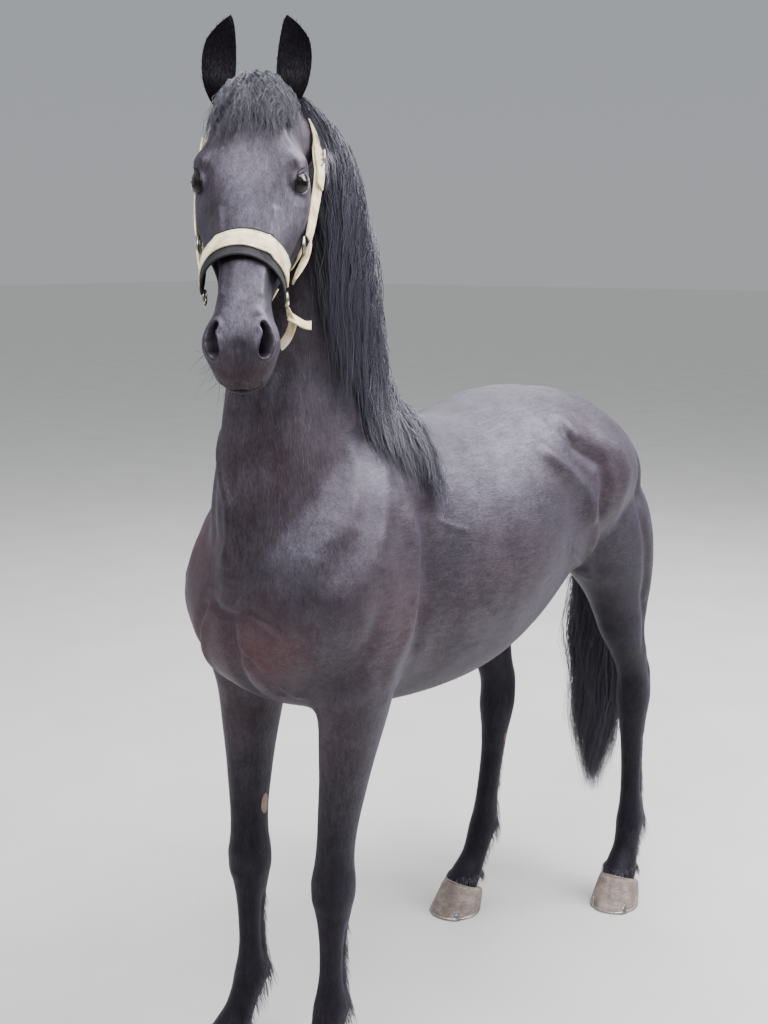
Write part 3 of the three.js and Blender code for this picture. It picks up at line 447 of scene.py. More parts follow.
def profile_rings(
    table: Table, swells: Sequence[Swell], way: int, count: int, sides: int
) -> Array:
    """Sections along a table of profiles.

    Args:
        table: The table, of the torso or the head.
        swells: The swells, as on the left side.
        way: 1 where the sections run back along y, -1 where they run forward.
        count: How many sections.
        sides: Points of a section.

    Returns:
        The sections.
    """
    run, top, bottom, half, wide, up, down = smooth_rows(table, count).T
    middle = np.stack([0 * run, way * run, wide], -1)
    side, high = np.tile([1.0, 0, 0], (count, 1)), np.tile([0, 0, 1.0], (count, 1))
    rings = rings_of(middle, side, high, half, top - wide, wide - bottom, up, down, sides)
    return swollen(rings, swells)


def torso_rings(count: int, sides: int) -> Array:
    """Sections of the torso from the breast to the buttocks."""
    return profile_rings(TORSO, TORSO_SWELLS, 1, count, sides)


def head_rings(count: int, sides: int) -> Array:
    """Sections of the head from the back of the skull to the lips."""
    return POLL + profile_rings(HEAD, HEAD_SWELLS, -1, count, sides) @ HEAD_AXES.T


def neck_rings(count: int, sides: int) -> Array:
    """Sections of the neck from its root to the poll.

    Args:
        count: How many sections.
        sides: Points of a section.

    Returns:
        The sections.
    """
    places = np.linspace(0, len(NECK) - 1, count)
    rows = rows_at(NECK, places)
    crest, throat = rows[:, :3], rows[:, 3:6]
    depth = np.linalg.norm(crest - throat, axis=1)
    up = unit(crest - throat)
    turn = HEAD_TURN * (places / (len(NECK) - 1)) ** 3
    side = np.stack([np.cos(turn), np.sin(turn), 0 * turn], -1)
    middle = crest - up * (0.56 * depth)[:, None]
    return rings_of(middle, side, up, rows[:, 6], 0.56 * depth, 0.44 * depth, rows[:, 7],
                    np.full(count, 0.9), sides)


def leg_rings(leg: Leg, count: int, sides: int) -> Array:
    """Sections of a leg from its top, inside the body, to the inside of the hoof.

    Args:
        leg: The leg.
        count: How many sections.
        sides: Points of a section.

    Returns:
        The sections.
    """
    top, low = leg.shape[0][0], leg.shape[-1][0]
    z = np.linspace(top, low, count)
    _, fore, aft, half = rows_where(leg.shape, z).T
    _, x, y = rows_where(leg.axis, z).T
    side, ahead = np.tile([1.0, 0, 0], (count, 1)), np.tile([0, -1.0, 0], (count, 1))
    even = np.full(count, 0.95)
    return rings_of(np.stack([x, y, z], -1), side, ahead, half, fore, aft, even, even, sides)


def horse_shift() -> Array:
    """Where the origin of the horse's own frame lies in the scene, in metres.

    The two eyes stand at equal distances from the middle of the head, so the middle of their
    solids is a place that the head's own frame gives too.

    Returns:
        The place, in metres.
    """
    corners = [np.array(c) for name in ("eye_left", "eye_right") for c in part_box(name)]
    middle = sum(corners) / 4
    shift = middle - on_head(0.0, EYE_ALONG, EYE_UP) * MM
    return np.array([0.0, shift[1], 0.0])


def linked(name: str, data: bpy.types.ID) -> Piece:
    """A new object in the scene, for a mesh, a light or a camera."""
    holder = bpy.data.objects.new(name, data)
    bpy.context.scene.collection.objects.link(holder)
    return holder


def make_piece(name: str, points: Array, faces: Array, shift: Array, slot: str) -> Piece:
    """Makes a mesh object that rides on the horse.

    Args:
        name: The piece's name.
        points: Points in mm of the horse's frame.
        faces: Corners of each face; a corner that is given twice makes a triangle.
        shift: Place of the horse's frame in the scene.
        slot: Not used.

    Returns:
        The object.
    """
    mesh = bpy.data.meshes.new(name)
    mesh.vertices.add(len(points))
    mesh.vertices.foreach_set("co", (points * MM + shift).astype(np.float32).ravel())
    three = faces[:, 2] == faces[:, 3]
    sizes = np.where(three, 3, 4)
    corners = faces[~(three[:, None] & (np.arange(4) == 3)[None])]
    starts = np.concatenate([[0], np.cumsum(sizes)[:-1]])
    mesh.loops.add(len(corners))
    mesh.loops.foreach_set("vertex_index", corners.astype(np.int32))
    mesh.polygons.add(len(sizes))
    mesh.polygons.foreach_set("loop_start", starts.astype(np.int32))
    mesh.update(calc_edges=True)
    mesh.validate()
    mesh.shade_smooth()
    piece = linked(name, mesh)
    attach(piece, "root")
    return piece


def piece_of(name: str, shell: Shell, shift: Array, slot: str) -> Piece:
    """Makes a piece from a shell."""
    return make_piece(name, np.concatenate(shell.points), np.concatenate(shell.faces), shift, slot)


def lofted(name: str, rings: Array, shift: Array, slot: str) -> Piece:
    """Makes a piece of one closed loft."""
    shell = Shell()
    shell.add_loft(rings)
    return piece_of(name, shell, shift, slot)


def solid_middle(node: str, shift: Array) -> Array:
    """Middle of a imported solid, in mm of the horse's frame."""
    low, high = (np.array(c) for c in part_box(node))
    return ((low + high) / 2 - shift) / MM


def evaluated_copy(piece: Piece) -> bpy.types.Mesh:
    """The mesh of a piece with its modifiers applied."""
    graph = bpy.context.evaluated_depsgraph_get()
    return bpy.data.meshes.new_from_object(piece.evaluated_get(graph))


def mesh_points(mesh: bpy.types.Mesh) -> Array:
    """Points of a mesh as an array."""
    points = np.empty(len(mesh.vertices) * 3, np.float32)
    mesh.vertices.foreach_get("co", points)
    return points.reshape(-1, 3).astype(float)


def mesh_normals(mesh: bpy.types.Mesh) -> Array:
    """Normals of the points of a mesh as an array."""
    normals = np.empty(len(mesh.vertices) * 3, np.float32)
    mesh.vertex_normals.foreach_get("vector", normals)
    return normals.reshape(-1, 3).astype(float)


def mesh_edges(mesh: bpy.types.Mesh) -> Array:
    """Ends of the edges of a mesh as an array."""
    ends = np.empty(len(mesh.edges) * 2, np.int32)
    mesh.edges.foreach_get("vertices", ends)
    return ends.reshape(-1, 2)


def set_points(mesh: bpy.types.Mesh, points: Array) -> None:
    """Moves the points of a mesh."""
    mesh.vertices.foreach_set("co", points.astype(np.float32).ravel())
    mesh.update()


def relax(points: Array, edges: Array, weight: Array, rounds: int) -> Array:
    """Moves each point towards the mean of its neighbours.

    Args:
        points: The points.
        edges: Pairs of neighbours.
        weight: How far each point goes in a round, from 0 to 1.
        rounds: How many rounds.

    Returns:
        The moved points.
    """
    count = len(points)
    a, b = edges[:, 0], edges[:, 1]
    near = np.bincount(a, minlength=count) + np.bincount(b, minlength=count)
    near = np.maximum(near, 1)
    for _ in range(rounds):
        mean = np.empty_like(points)
        for c in range(3):
            total = np.bincount(a, points[b, c], count) + np.bincount(b, points[a, c], count)
            mean[:, c] = total / near
        points = points + (mean - points) * weight[:, None]
    return points


def near_path(points: Array, path: Array) -> Array:
    """Distance of each point from a path of straight stretches.

    Args:
        points: Places in mm of the horse's frame.
        path: The path, row by row.

    Returns:
        The distances.
    """
    best = np.full(len(points), 1e9)
    for a, b in zip(path[:-1], path[1:]):
        way = b - a
        t = np.clip((points - a) @ way / max(way @ way, 1e-9), 0, 1)
        best = np.minimum(best, np.linalg.norm(points - a - t[:, None] * way, axis=1))
    return best


def set_tone(mesh: bpy.types.Mesh, name: str, values: Array) -> None:
    """Keeps a colour for each point of a mesh, for its material to read."""
    layer = mesh.color_attributes.new(name, "FLOAT_COLOR", "POINT")
    layer.data.foreach_set("color", values.astype(np.float32).ravel())


class Relief(Enum):
    """How a line of relief is cut into the skin or raised from it."""

    RIDGE = 1.0
    GROOVE = -1.0


RIDGE, GROOVE = Relief.RIDGE, Relief.GROOVE


@dataclass(frozen=True)
class Line:
    """A muscle edge, vein or crease: its path on the body, how wide and how strong it is, in mm."""

    name: str
    relief: Relief
    wide: float
    deep: float
    path: Table
    both: bool = False  # also on the other side of the body


BODY_LINES = (
    Line("windpipe ridge", RIDGE, 11, 7, ((-73, -299, 1490), (-30, -342, 1420), (4, -359, 1348),
        (9, -363, 1287), (-3, -363, 1235))),
    Line("left jugular groove", GROOVE, 22, 8, ((70, -255, 1640), (64, -290, 1520),
        (46, -335, 1410), (44, -350, 1322), (38, -353, 1250))),
    Line("right jugular groove", GROOVE, 22, 8, ((-70, -255, 1640), (-74, -280, 1560),
        (-70, -320, 1450), (-50, -345, 1330), (-36, -353, 1250))),
    Line("breastbone", RIDGE, 26, 14, ((2, -362, 1226), (6, -364, 1190), (8, -366, 1160))),
    Line("right notch", GROOVE, 9, 7, ((-38, -366, 1158), (-24, -366, 1138), (-2, -366, 1124))),
    Line("left notch", GROOVE, 9, 8, ((6, -366, 1124), (30, -366, 1136), (50, -364, 1152))),
    Line("middle groove", GROOVE, 14, 13, ((2, -366, 1126), (2, -362, 1066), (0, -350, 1010),
        (0, -320, 950), (0, -280, 905))),
    Line("right breast edge", RIDGE, 9, 6, ((-40, -366, 1150), (-78, -356, 1092), (-92, -340, 1040),
        (-96, -310, 985), (-100, -262, 930))),
    Line("right breast groove", GROOVE, 13, 9, ((-58, -364, 1152), (-98, -350, 1090),
        (-114, -332, 1036), (-120, -300, 980))),
    Line("left breast lower edge", RIDGE, 8, 6, ((26, -356, 1066), (57, -351, 1046),
        (78, -334, 1016), (93, -302, 975), (100, -262, 935))),
    Line("left breast lower groove", GROOVE, 11, 8, ((22, -356, 1050), (48, -350, 1026),
        (66, -332, 996), (76, -302, 955))),
    Line("left breast upper edge", GROOVE, 12, 7, ((48, -364, 1148), (112, -347, 1117),
        (144, -323, 1084), (142, -286, 1017), (118, -240, 950))),
    Line("shoulder hollow", GROOVE, 34, 9, ((190, -190, 1300), (194, -232, 1250), (192, -270, 1205),
        (185, -290, 1170)), both=True),
    Line("left shoulder crest", RIDGE, 26, 8, ((130, -110, 1470), (150, -140, 1410),
        (166, -185, 1335), (169, -236, 1285), (157, -274, 1255))),
    Line("right shoulder crest", RIDGE, 26, 8, ((-130, -110, 1470), (-150, -140, 1410),
        (-166, -185, 1335), (-169, -236, 1285))),
    Line("blade ridge", RIDGE, 24, 6, ((120, -20, 1490), (160, -60, 1410), (190, -110, 1320),
        (205, -160, 1230)), both=True),
    Line("left arm crest", RIDGE, 28, 8, ((188, -49, 1328), (206, -20, 1238), (218, -30, 1164),
        (225, -60, 1099), (220, -106, 1026), (200, -110, 950))),
    Line("right arm crest", RIDGE, 30, 9, ((-205, -30, 1290), (-216, -63, 1214), (-229, -93, 1140),
        (-226, -128, 1070), (-214, -140, 1010))),
    Line("arm back groove", GROOVE, 24, 11, ((206, 30, 1290), (222, 10, 1200), (228, -8, 1110),
        (222, -22, 1040), (206, -30, 985)), both=True),
    Line("left arm hollow", GROOVE, 26, 8, ((226, -170, 1165), (226, -195, 1080), (192, -215, 1022),
        (160, -222, 985))),
    Line("right arm hollow", GROOVE, 26, 8, ((-226, -170, 1165), (-226, -195, 1080),
        (-196, -215, 1022), (-170, -222, 985))),
    Line("left forearm top", RIDGE, 30, 8, ((150, -212, 930), (176, -205, 960), (200, -175, 972),
        (206, -130, 950))),
    Line("right forearm top", RIDGE, 30, 8, ((-160, -215, 930), (-186, -205, 960),
        (-210, -175, 972), (-214, -130, 950))),
    Line("shoulder fold", RIDGE, 6, 1.5, ((201, 57, 1276), (213, 99, 1257), (227, 146, 1238))),
    Line("hip point", RIDGE, 30, 8, ((180, 560, 1432), (192, 590, 1418)), both=True),
    Line("left thigh crease", GROOVE, 22, 14, ((183, 567, 1431), (226, 601, 1371), (244, 703, 1316),
        (250, 713, 1260), (243, 703, 1189), (235, 699, 1154))),
    Line("right thigh crease", GROOVE, 26, 8, ((-236, 690, 1360), (-240, 717, 1310),
        (-251, 720, 1243), (-240, 690, 1160))),
    Line("left flank ridge", RIDGE, 24, 12, ((194, 465, 1384), (235, 530, 1332), (241, 630, 1255),
        (240, 690, 1176), (218, 715, 1114), (170, 760, 1060))),
    Line("left croup ridge", RIDGE, 38, 8, ((201, 684, 1406), (235, 783, 1346), (250, 815, 1276),
        (247, 790, 1201), (215, 821, 1118))),
    Line("right flank ridge", RIDGE, 17, 9, ((-243, 533, 1285), (-240, 614, 1222),
        (-232, 670, 1165))),
    Line("left flank fold", RIDGE, 16, 9, ((238, 560, 1130), (226, 650, 1070), (190, 745, 1030),
        (160, 800, 985))),
    Line("right flank fold", RIDGE, 16, 9, ((-238, 540, 1130), (-226, 620, 1070), (-190, 690, 1030),
        (-160, 730, 985))),
    Line("left hamstring", GROOVE, 22, 10, ((150, 1010, 1330), (196, 985, 1220), (206, 985, 1110),
        (186, 1005, 1000), (165, 1040, 900))),
    Line("right hamstring", GROOVE, 22, 10, ((-150, 1000, 1330), (-196, 960, 1220),
        (-206, 930, 1110), (-190, 880, 1000), (-170, 850, 900))),
    Line("left gaskin", GROOVE, 16, 6, ((196, 1010, 940), (186, 1050, 850), (180, 1085, 750))),
    Line("right gaskin", GROOVE, 16, 6, ((-196, 770, 940), (-184, 790, 850), (-180, 815, 750))),
    Line("left heel tendon", GROOVE, 13, 7, ((180, 1130, 780), (178, 1150, 700), (176, 1160, 640))),
    Line("right heel tendon", GROOVE, 13, 7, ((-178, 868, 780), (-176, 884, 700), (-174, 884, 640))),
    Line("croup furrow", GROOVE, 24, 7, ((0, 620, 1500), (0, 760, 1493), (0, 880, 1466),
        (0, 975, 1424))),
    Line("left neck muscle", RIDGE, 30, 6, ((90, -70, 1480), (104, -150, 1560), (96, -200, 1690),
        (86, -220, 1820), (88, -240, 1930))),
    Line("right neck muscle", RIDGE, 30, 6, ((-90, -70, 1480), (-104, -150, 1560),
        (-96, -200, 1690), (-78, -215, 1820))),
    Line("fore left tendon", GROOVE, 9, 5, ((98, -118, 400), (106, -124, 330), (112, -134, 260))),
    Line("fore left tendon, inside", GROOVE, 9, 5, ((42, -118, 400), (46, -124, 330),
        (50, -134, 260))),
    Line("fore right tendon", GROOVE, 9, 5, ((-202, -118, 400), (-196, -124, 330),
        (-188, -134, 260))),
    Line("fore right tendon, inside", GROOVE, 9, 5, ((-144, -118, 400), (-136, -124, 330),
        (-126, -134, 260))),
    Line("hind left tendon", GROOVE, 10, 6, ((176, 1146, 460), (178, 1142, 380), (178, 1138, 290))),
    Line("hind right tendon", GROOVE, 10, 6, ((-174, 860, 460), (-182, 856, 380), (-190, 850, 290))),
    Line("fore left knee", RIDGE, 14, 3.5, ((40, -176, 500), (66, -184, 512), (94, -172, 500))),
    Line("fore left knee, low", RIDGE, 12, 3, ((42, -178, 456), (66, -186, 452), (92, -176, 456))),
    Line("fore right knee", RIDGE, 14, 3.5, ((-206, -168, 500), (-180, -182, 512),
        (-152, -176, 500))),
    Line("fore right knee, low", RIDGE, 12, 3, ((-206, -168, 456), (-180, -182, 452),
        (-152, -176, 456))),
)
FACE_LINES = (
    Line("face crest", RIDGE, 9, 2.6, ((94, 262, -66), (86, 300, -68), (72, 345, -70))),
    Line("below the face crest", GROOVE, 13, 4, ((92, 285, -92), (76, 335, -94), (62, 380, -92))),
    Line("jaw edge", RIDGE, 16, 4, ((86, 60, -175), (92, 140, -214), (88, 220, -208),
        (70, 300, -168))),
    Line("jaw hollow", GROOVE, 26, 5, ((88, 90, -120), (96, 150, -160), (92, 220, -150))),
    Line("hollow over the eye", GROOVE, 19, 1.6, ((74, 130, -8), (82, 118, -20))),
    Line("brow", RIDGE, 9, 2, ((78, 168, 2), (92, 186, -8), (94, 208, -16))),
    Line("temple ridge", RIDGE, 9, 3, ((30, 60, 8), (52, 96, 6), (74, 140, -2))),
    Line("nose bone edge", RIDGE, 8, 3, ((50, 280, -12), (44, 340, -14), (38, 400, -16),
        (34, 450, -18))),
    Line("nose hollow", GROOVE, 14, 4, ((58, 370, -40), (50, 430, -42), (48, 475, -44))),
    Line("tear line", GROOVE, 4, 1.2, ((82, 232, -34), (80, 248, -36))),
    Line("lower lid fold", GROOVE, 3.5, 1.0, ((100, 190, -66), (98, 212, -66), (92, 232, -56))),
    Line("face vein", RIDGE, 3.5, 2, ((88, 262, -76), (80, 290, -100), (76, 300, -130))),
    Line("nose vein", RIDGE, 4, 1.0, ((84, 270, -58), (66, 330, -52), (54, 390, -50),
        (50, 440, -54))),
    Line("between the nostrils", GROOVE, 12, 3, ((0, 548, -32), (0, 572, -60), (0, 582, -84))),
    Line("nostril roof", RIDGE, 9, 2.5, ((30, 488, -14), (42, 492, -16), (56, 502, -24))),
    Line("false nostril", GROOVE, 9, 1.5, ((44, 480, -30), (50, 492, -34))),
    Line("chin fold", GROOVE, 6, 3.5, ((0, 478, -130), (24, 480, -124), (40, 478, -112))),
    Line("lip wrinkle, middle", GROOVE, 2.2, 1.1, ((7, 562, -50), (8, 580, -72), (8, 590, -96))),
    Line("lip wrinkle, side", GROOVE, 2.2, 1.1, ((16, 562, -54), (19, 580, -74), (20, 588, -98))),
    Line("lip wrinkle, outer", GROOVE, 2.2, 1.0, ((30, 566, -62), (33, 578, -80), (34, 582, -100))),
    Line("lip corner", GROOVE, 6, 4, ((54, 462, -104), (54, 474, -106))),
)


@dataclass
class Body:
    """The skin of the whole horse: one closed surface, without seams, inside the solids of flesh.

    The lofts of the solids are made again, finer, from the same tables, and are merged. The face
    is then refined and gets its lids, nostrils, lips and folds.
    """

    shift: Array
    voxel: float = 6.5
    coat: float = 2.0  # depth of the coat, by which the skin lies inside the solids
    face_coat: float = 1.0
    lid: float = 2.6  # thickness of a lid over the eyeball
    nostril_deep: float = 20.0
    orbit: float = 4.0  # how far the bone round each eye stands out
    orbit_reach: float = 58.0
    lip_drop: float = 11.0  # how far the lips hang below the solid's
    hollow: Array = field(default_factory=lambda: np.zeros(0))  # how deep in a nostril points lie

    def lofts(self) -> Shell:
        """The closed lofts of the flesh.

        Returns:
            The shell that holds them.
        """
        shell = Shell()
        shell.add_loft(torso_rings(110, 96))
        shell.add_loft(neck_rings(70, 72))
        shell.add_loft(head_rings(130, 96))
        for leg in LEGS:
            shell.add_loft(leg_rings(leg, 170, 48))
        return shell

    def build(self) -> Piece:
        """Makes the skin.

        Returns:
            The object, which replaces the solids of flesh.
        """
        rough = piece_of("skin_lofts", self.lofts(), self.shift, "coat")
        merge = rough.modifiers.new("merge", "REMESH")
        merge.mode = "VOXEL"
        merge.voxel_size = self.voxel * MM
        merge.adaptivity = 0
        mesh = evaluated_copy(rough)
        bpy.data.objects.remove(rough)
        self.even_out(mesh)
        self.refine(mesh, self.in_face)
        self.refine(mesh, self.in_detail)
        self.sculpt(mesh)
        mesh.shade_smooth()
        mesh.name = "skin"
        skin = linked("skin", mesh)
        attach(skin, "root")
        return skin

    def even_out(self, mesh: bpy.types.Mesh) -> None:
        """Takes the steps of the merging away and softens the places where parts join.

        Args:
            mesh: The mesh.
        """
        points = (mesh_points(mesh) - self.shift) / MM
        edges = mesh_edges(mesh)
        everywhere = np.ones(len(points))
        for _ in range(4):
            points = relax(points, edges, 0.55 * everywhere, 1)
            points = relax(points, edges, -0.58 * everywhere, 1)
        points = relax(points, edges, 0.5 * everywhere, 2)
        joints = np.zeros(len(points))
        for at, reach in JOINTS:
            far = np.linalg.norm((points - np.array(at)) / reach, axis=1)
            joints = np.maximum(joints, np.exp(-far**4))
        points = relax(points, edges, 0.6 * joints, 30)
        set_points(mesh, points * MM + self.shift)

    def in_face(self, points: Array) -> Array:
        """Which points belong to the head."""
        return on_face(points) & (head_local(points)[:, 1] > 10)

    def in_detail(self, points: Array) -> Array:
        """Which points belong to the muzzle or lie round an eye.

        Args:
            points: Places in mm of the horse's frame.

        Returns:
            True for those points.
        """
        local = head_local(points)
        muzzle = on_face(points) & (local[:, 1] > 455)
        near = np.zeros(len(points), bool)
        for way in (1, -1):
            near |= np.linalg.norm(points - Eye(way, self.shift).middle(), axis=1) < 52
        return muzzle | near

    def refine(self, mesh: bpy.types.Mesh, chosen: Callable[[Array], Array]) -> None:
        """Splits the faces of a region and softens the result.

        Args:
            mesh: The skin.
            chosen: Tells which points are in the region.
        """
        work = bmesh.new()
        work.from_mesh(mesh)
        work.verts.ensure_lookup_table()
        points = np.array([v.co for v in work.verts])
        inside = chosen((points - self.shift) / MM)
        edges = [e for e in work.edges if inside[e.verts[0].index] and inside[e.verts[1].index]]
        bmesh.ops.subdivide_edges(work, edges=edges, cuts=1, use_grid_fill=True)
        work.to_mesh(mesh)
        work.free()
        points = (mesh_points(mesh) - self.shift) / MM
        weight = chosen(points).astype(float)
        points = relax(points, mesh_edges(mesh), 0.5 * weight, 3)
        set_points(mesh, points * MM + self.shift)

    def sculpt(self, mesh: bpy.types.Mesh) -> None:
        """Cuts the lines of the body and the features of the face, and makes room for the coat.

        Args:
            mesh: The mesh.
        """
        points = (mesh_points(mesh) - self.shift) / MM
        normals = mesh_normals(mesh)
        faces = [tuple(f.vertices) for f in mesh.polygons]
        tree = BVHTree.FromPolygons([tuple(p) for p in points], faces)
        rise = np.zeros(len(points))
        for line in BODY_LINES:
            for way in (1, -1) if line.both else (1,):
                path = self.laid(tree, np.array(line.path, float) * np.array([way, 1, 1]))
                near, lift = self.lift_of(line, points, path)
                spots = points[near]
                ends = np.minimum(np.linalg.norm(spots - path[0], axis=1),
                                  np.linalg.norm(spots - path[-1], axis=1))
                rise[near] += lift * np.clip(0.35 + ends / (2.5 * line.wide), 0, 1)
        local = head_local(points)
        for line in FACE_LINES:
            for way in (1, -1):
                path = np.array(line.path, float) * np.array([way, 1, 1])
                near, lift = self.lift_of(line, local, path)
                rise[near] += lift
        face = np.clip((local[:, 1] - 20) / 80, 0, 1) * on_face(points)
        for way in (1, -1):
            far = np.linalg.norm(points - Eye(way, self.shift).middle(), axis=1)
            rise += self.orbit * np.exp(-(far / self.orbit_reach) ** 2)
        rise -= self.coat + (self.face_coat - self.coat) * face
        points = points + normals * rise[:, None]
        self.hollow = np.zeros(len(points))
        points = self.open_nostrils(points, tree)
        points = self.part_lips(points)
        for way in (1, -1):
            points = Eye(way, self.shift).wrap(points, self.lid)
        local = head_local(points)
        drop = self.lip_drop * np.clip((local[:, 1] - 490) / 95, 0, 1) ** 1.4 * on_face(points)
        points = points - HEAD_AXES[:, 1] * drop[:, None]
        set_points(mesh, points * MM + self.shift)

    def lift_of(self, line: Line, points: Array, path: Array) -> tuple[Array, Array]:
        """How a line of relief raises or lowers the points near it.

        Args:
            line: The line.
            points: Places in mm of the horse's frame.
            path: The line's path on the skin.

        Returns:
            Which points are near, and their rise.
        """
        room = 3 * line.wide
        near = ((points > path.min(0) - room) & (points < path.max(0) + room)).all(1)
        far = near_path(points[near], path)
        return near, line.relief.value * line.deep * np.exp(-(far / line.wide) ** 2)

    def laid(self, tree: BVHTree, path: Array) -> Array:
        """A path brought onto the skin at short steps.

        Args:
            tree: The skin, for finding places on it.
            path: The path, row by row.

        Returns:
            The path on the skin.
        """
        steps = np.linspace(0, len(path) - 1, 8 * (len(path) - 1) + 1)
        at = np.arange(len(path))
        fine = np.stack([np.interp(steps, at, path[:, c]) for c in range(3)], -1)
        return np.array([tuple(tree.find_nearest(Vector(p))[0]) for p in fine])

    def open_nostrils(self, points: Array, tree: BVHTree) -> Array:
        """Presses the two nostrils into the muzzle as commas with raised wings.

        Args:
            points: Places in mm of the horse's frame.
            tree: The skin, for finding places on it.

        Returns:
            The moved points.
        """
        for way in (1, -1):
            local = head_local(points)
            rows = NOSTRIL_PATH * np.array([way, 1, 1])
            path = head_local(self.laid(tree, on_head(rows[:, 0], rows[:, 1], rows[:, 2])))
            path = eased(path, 10)
            far = near_path(local, path)
            wide = np.interp(local[:, 1], [506, 520, 533, 545], [4.5, 7.5, 11.5, 11.0])
            inward = np.array([-0.72 * way, -0.35, -0.6])
            inward = inward / np.linalg.norm(inward)
            near = (np.abs(local[:, 1] - 535) < 70) & (way * local[:, 0] > 8)
            sink = self.nostril_deep * np.clip(1 - (far / wide) ** 2, 0, 1) ** 0.8
            rim = 3.5 * np.exp(-((far - wide - 3.5) / 4) ** 2)
            self.hollow = np.maximum(self.hollow, sink / self.nostril_deep * near)
            move = (sink - rim)[:, None] * inward * near[:, None]
            points = points + move * np.array([1, -1, 1]) @ HEAD_AXES.T
        return points

    def part_lips(self, points: Array) -> Array:
        """Draws the line of the mouth between the lips.

        Args:
            points: Places in mm of the horse's frame.

        Returns:
            The moved points.
        """
        local = head_local(points)
        line = np.array(MOUTH_LINE + (MOUTH_FRONT,), float)
        height = np.interp(local[:, 1], line[:, 0], line[:, 1])
        gap = local[:, 2] - height
        along = np.clip((local[:, 1] - 455) / 25, 0, 1)
        cut = 7.5 * np.exp(-(gap / 3.2) ** 2) - 2.2 * np.exp(-((gap - 11) / 7) ** 2)
        cut -= 2.0 * np.exp(-((gap + 10) / 7) ** 2)
        middle = on_head(0 * local[:, 0], np.minimum(local[:, 1], 500) - 10, height)
        return points - unit(points - middle) * (cut * along)[:, None]


@dataclass
class Eye:
    """One eye: a glossy ball with a level pupil, and the rims of its lids."""

    way: int  # 1 for the left, -1 for the right
    shift: Array
    radius: float = EYE_RADIUS
    long: float = 23.0  # half length of the opening between the lids
    high: float = 16.5  # half height of the opening
    out: float = 4.5  # how far the ball stands out of its solid's place
    ahead: float = 26.0  # how far the opening is turned to the front, in degrees
    raised: float = 34.0  # how far the opening is turned up, in degrees

    def middle(self) -> Array:
        """Middle of the eyeball, from its solid."""
        solid = solid_middle("eye_left" if self.way > 0 else "eye_right", self.shift)
        return solid + HEAD_AXES[:, 0] * self.way * self.out

    def frame(self) -> Array:
        """Axes of the opening as columns: along the face, up, and out of the head.

        Returns:
            The axes, in the horse's frame.
        """
        a, r = math.radians(self.ahead), math.radians(self.raised)
        out = np.array([math.cos(r) * math.cos(a) * self.way, -math.sin(a) * math.cos(r), math.sin(r)])
        along = np.array([0.0, -1.0, 0.0])
        along = unit(along - out * (along @ out))
        up = np.cross(out, along)
        up = up if up[2] > 0 else -up
        return HEAD_AXES @ np.stack([along, up, out], -1)

    def opening(self, u: Array, v: Array) -> Array:
        """How far a place lies from the edge of the opening: below zero is inside, in mm.

        Args:
            u: Places along the opening, in mm.
            v: Places up the opening, in mm.

        Returns:
            The distances.
        """
        u, v = u / self.long, v / self.high
        lens = np.abs(v + 0.16 * u - 0.05) / np.maximum(1 - np.abs(u) ** 2.3, 1e-3)
        inside = np.where(np.abs(u) < 1, lens, 9.0)
        round_ = np.hypot(u, v)
        return (np.where(inside < 1, inside - 1, np.maximum(round_ - 0.55, 0.02))) * self.high

    def edge(self, turn: Array, lift: float) -> Array:
        """Places on the edge of the opening, in the opening's own axes.

        Args:
            turn: Angles round the opening.
            lift: How far out of the eyeball the places lie.

        Returns:
            The places.
        """
        u = self.long * np.cos(turn)
        half = np.maximum(1 - np.abs(np.cos(turn)) ** 2.3, 0) ** 0.98
        v = self.high * (np.sign(np.sin(turn)) * half + 0.05 - 0.16 * np.cos(turn))
        out = np.sqrt(np.maximum((self.radius + lift) ** 2 - u**2 - v**2, 30))
        return np.stack([u, v, out], -1)

    def wrap(self, points: Array, lid: float) -> Array:
        """Lays the skin over the eyeball as lids and sinks it behind the eye in the opening.

        Args:
            points: Places in mm of the horse's frame.
            lid: Thickness of the lids.

        Returns:
            The moved points.
        """
        local = (points - self.middle()) @ self.frame()
        far = np.linalg.norm(local, axis=1)
        near = (far < 66) & (local[:, 2] > -12)
        edge = self.opening(local[:, 0], local[:, 1])
        over = self.radius + lid
        inside = edge < 0
        flat = np.hypot(local[:, 0], local[:, 1])
        blend = np.clip((flat - 18) / 28, 0, 1)
        blend = blend * blend * (3 - 2 * blend)
        target = np.where(inside, self.radius - 4.0, over)
        goal = np.where(inside, target, target * (1 - blend) + np.maximum(far, target) * blend)
        crease = 1.6 * np.exp(-((edge - 7.5) / 1.8) ** 2) * (local[:, 1] > -2)
        goal = goal - np.where(inside, 0, crease)
        moved = local * (goal / np.maximum(far, 1e-6))[:, None]
        local = np.where(near[:, None], moved, local)
        return self.middle() + local @ self.frame().T


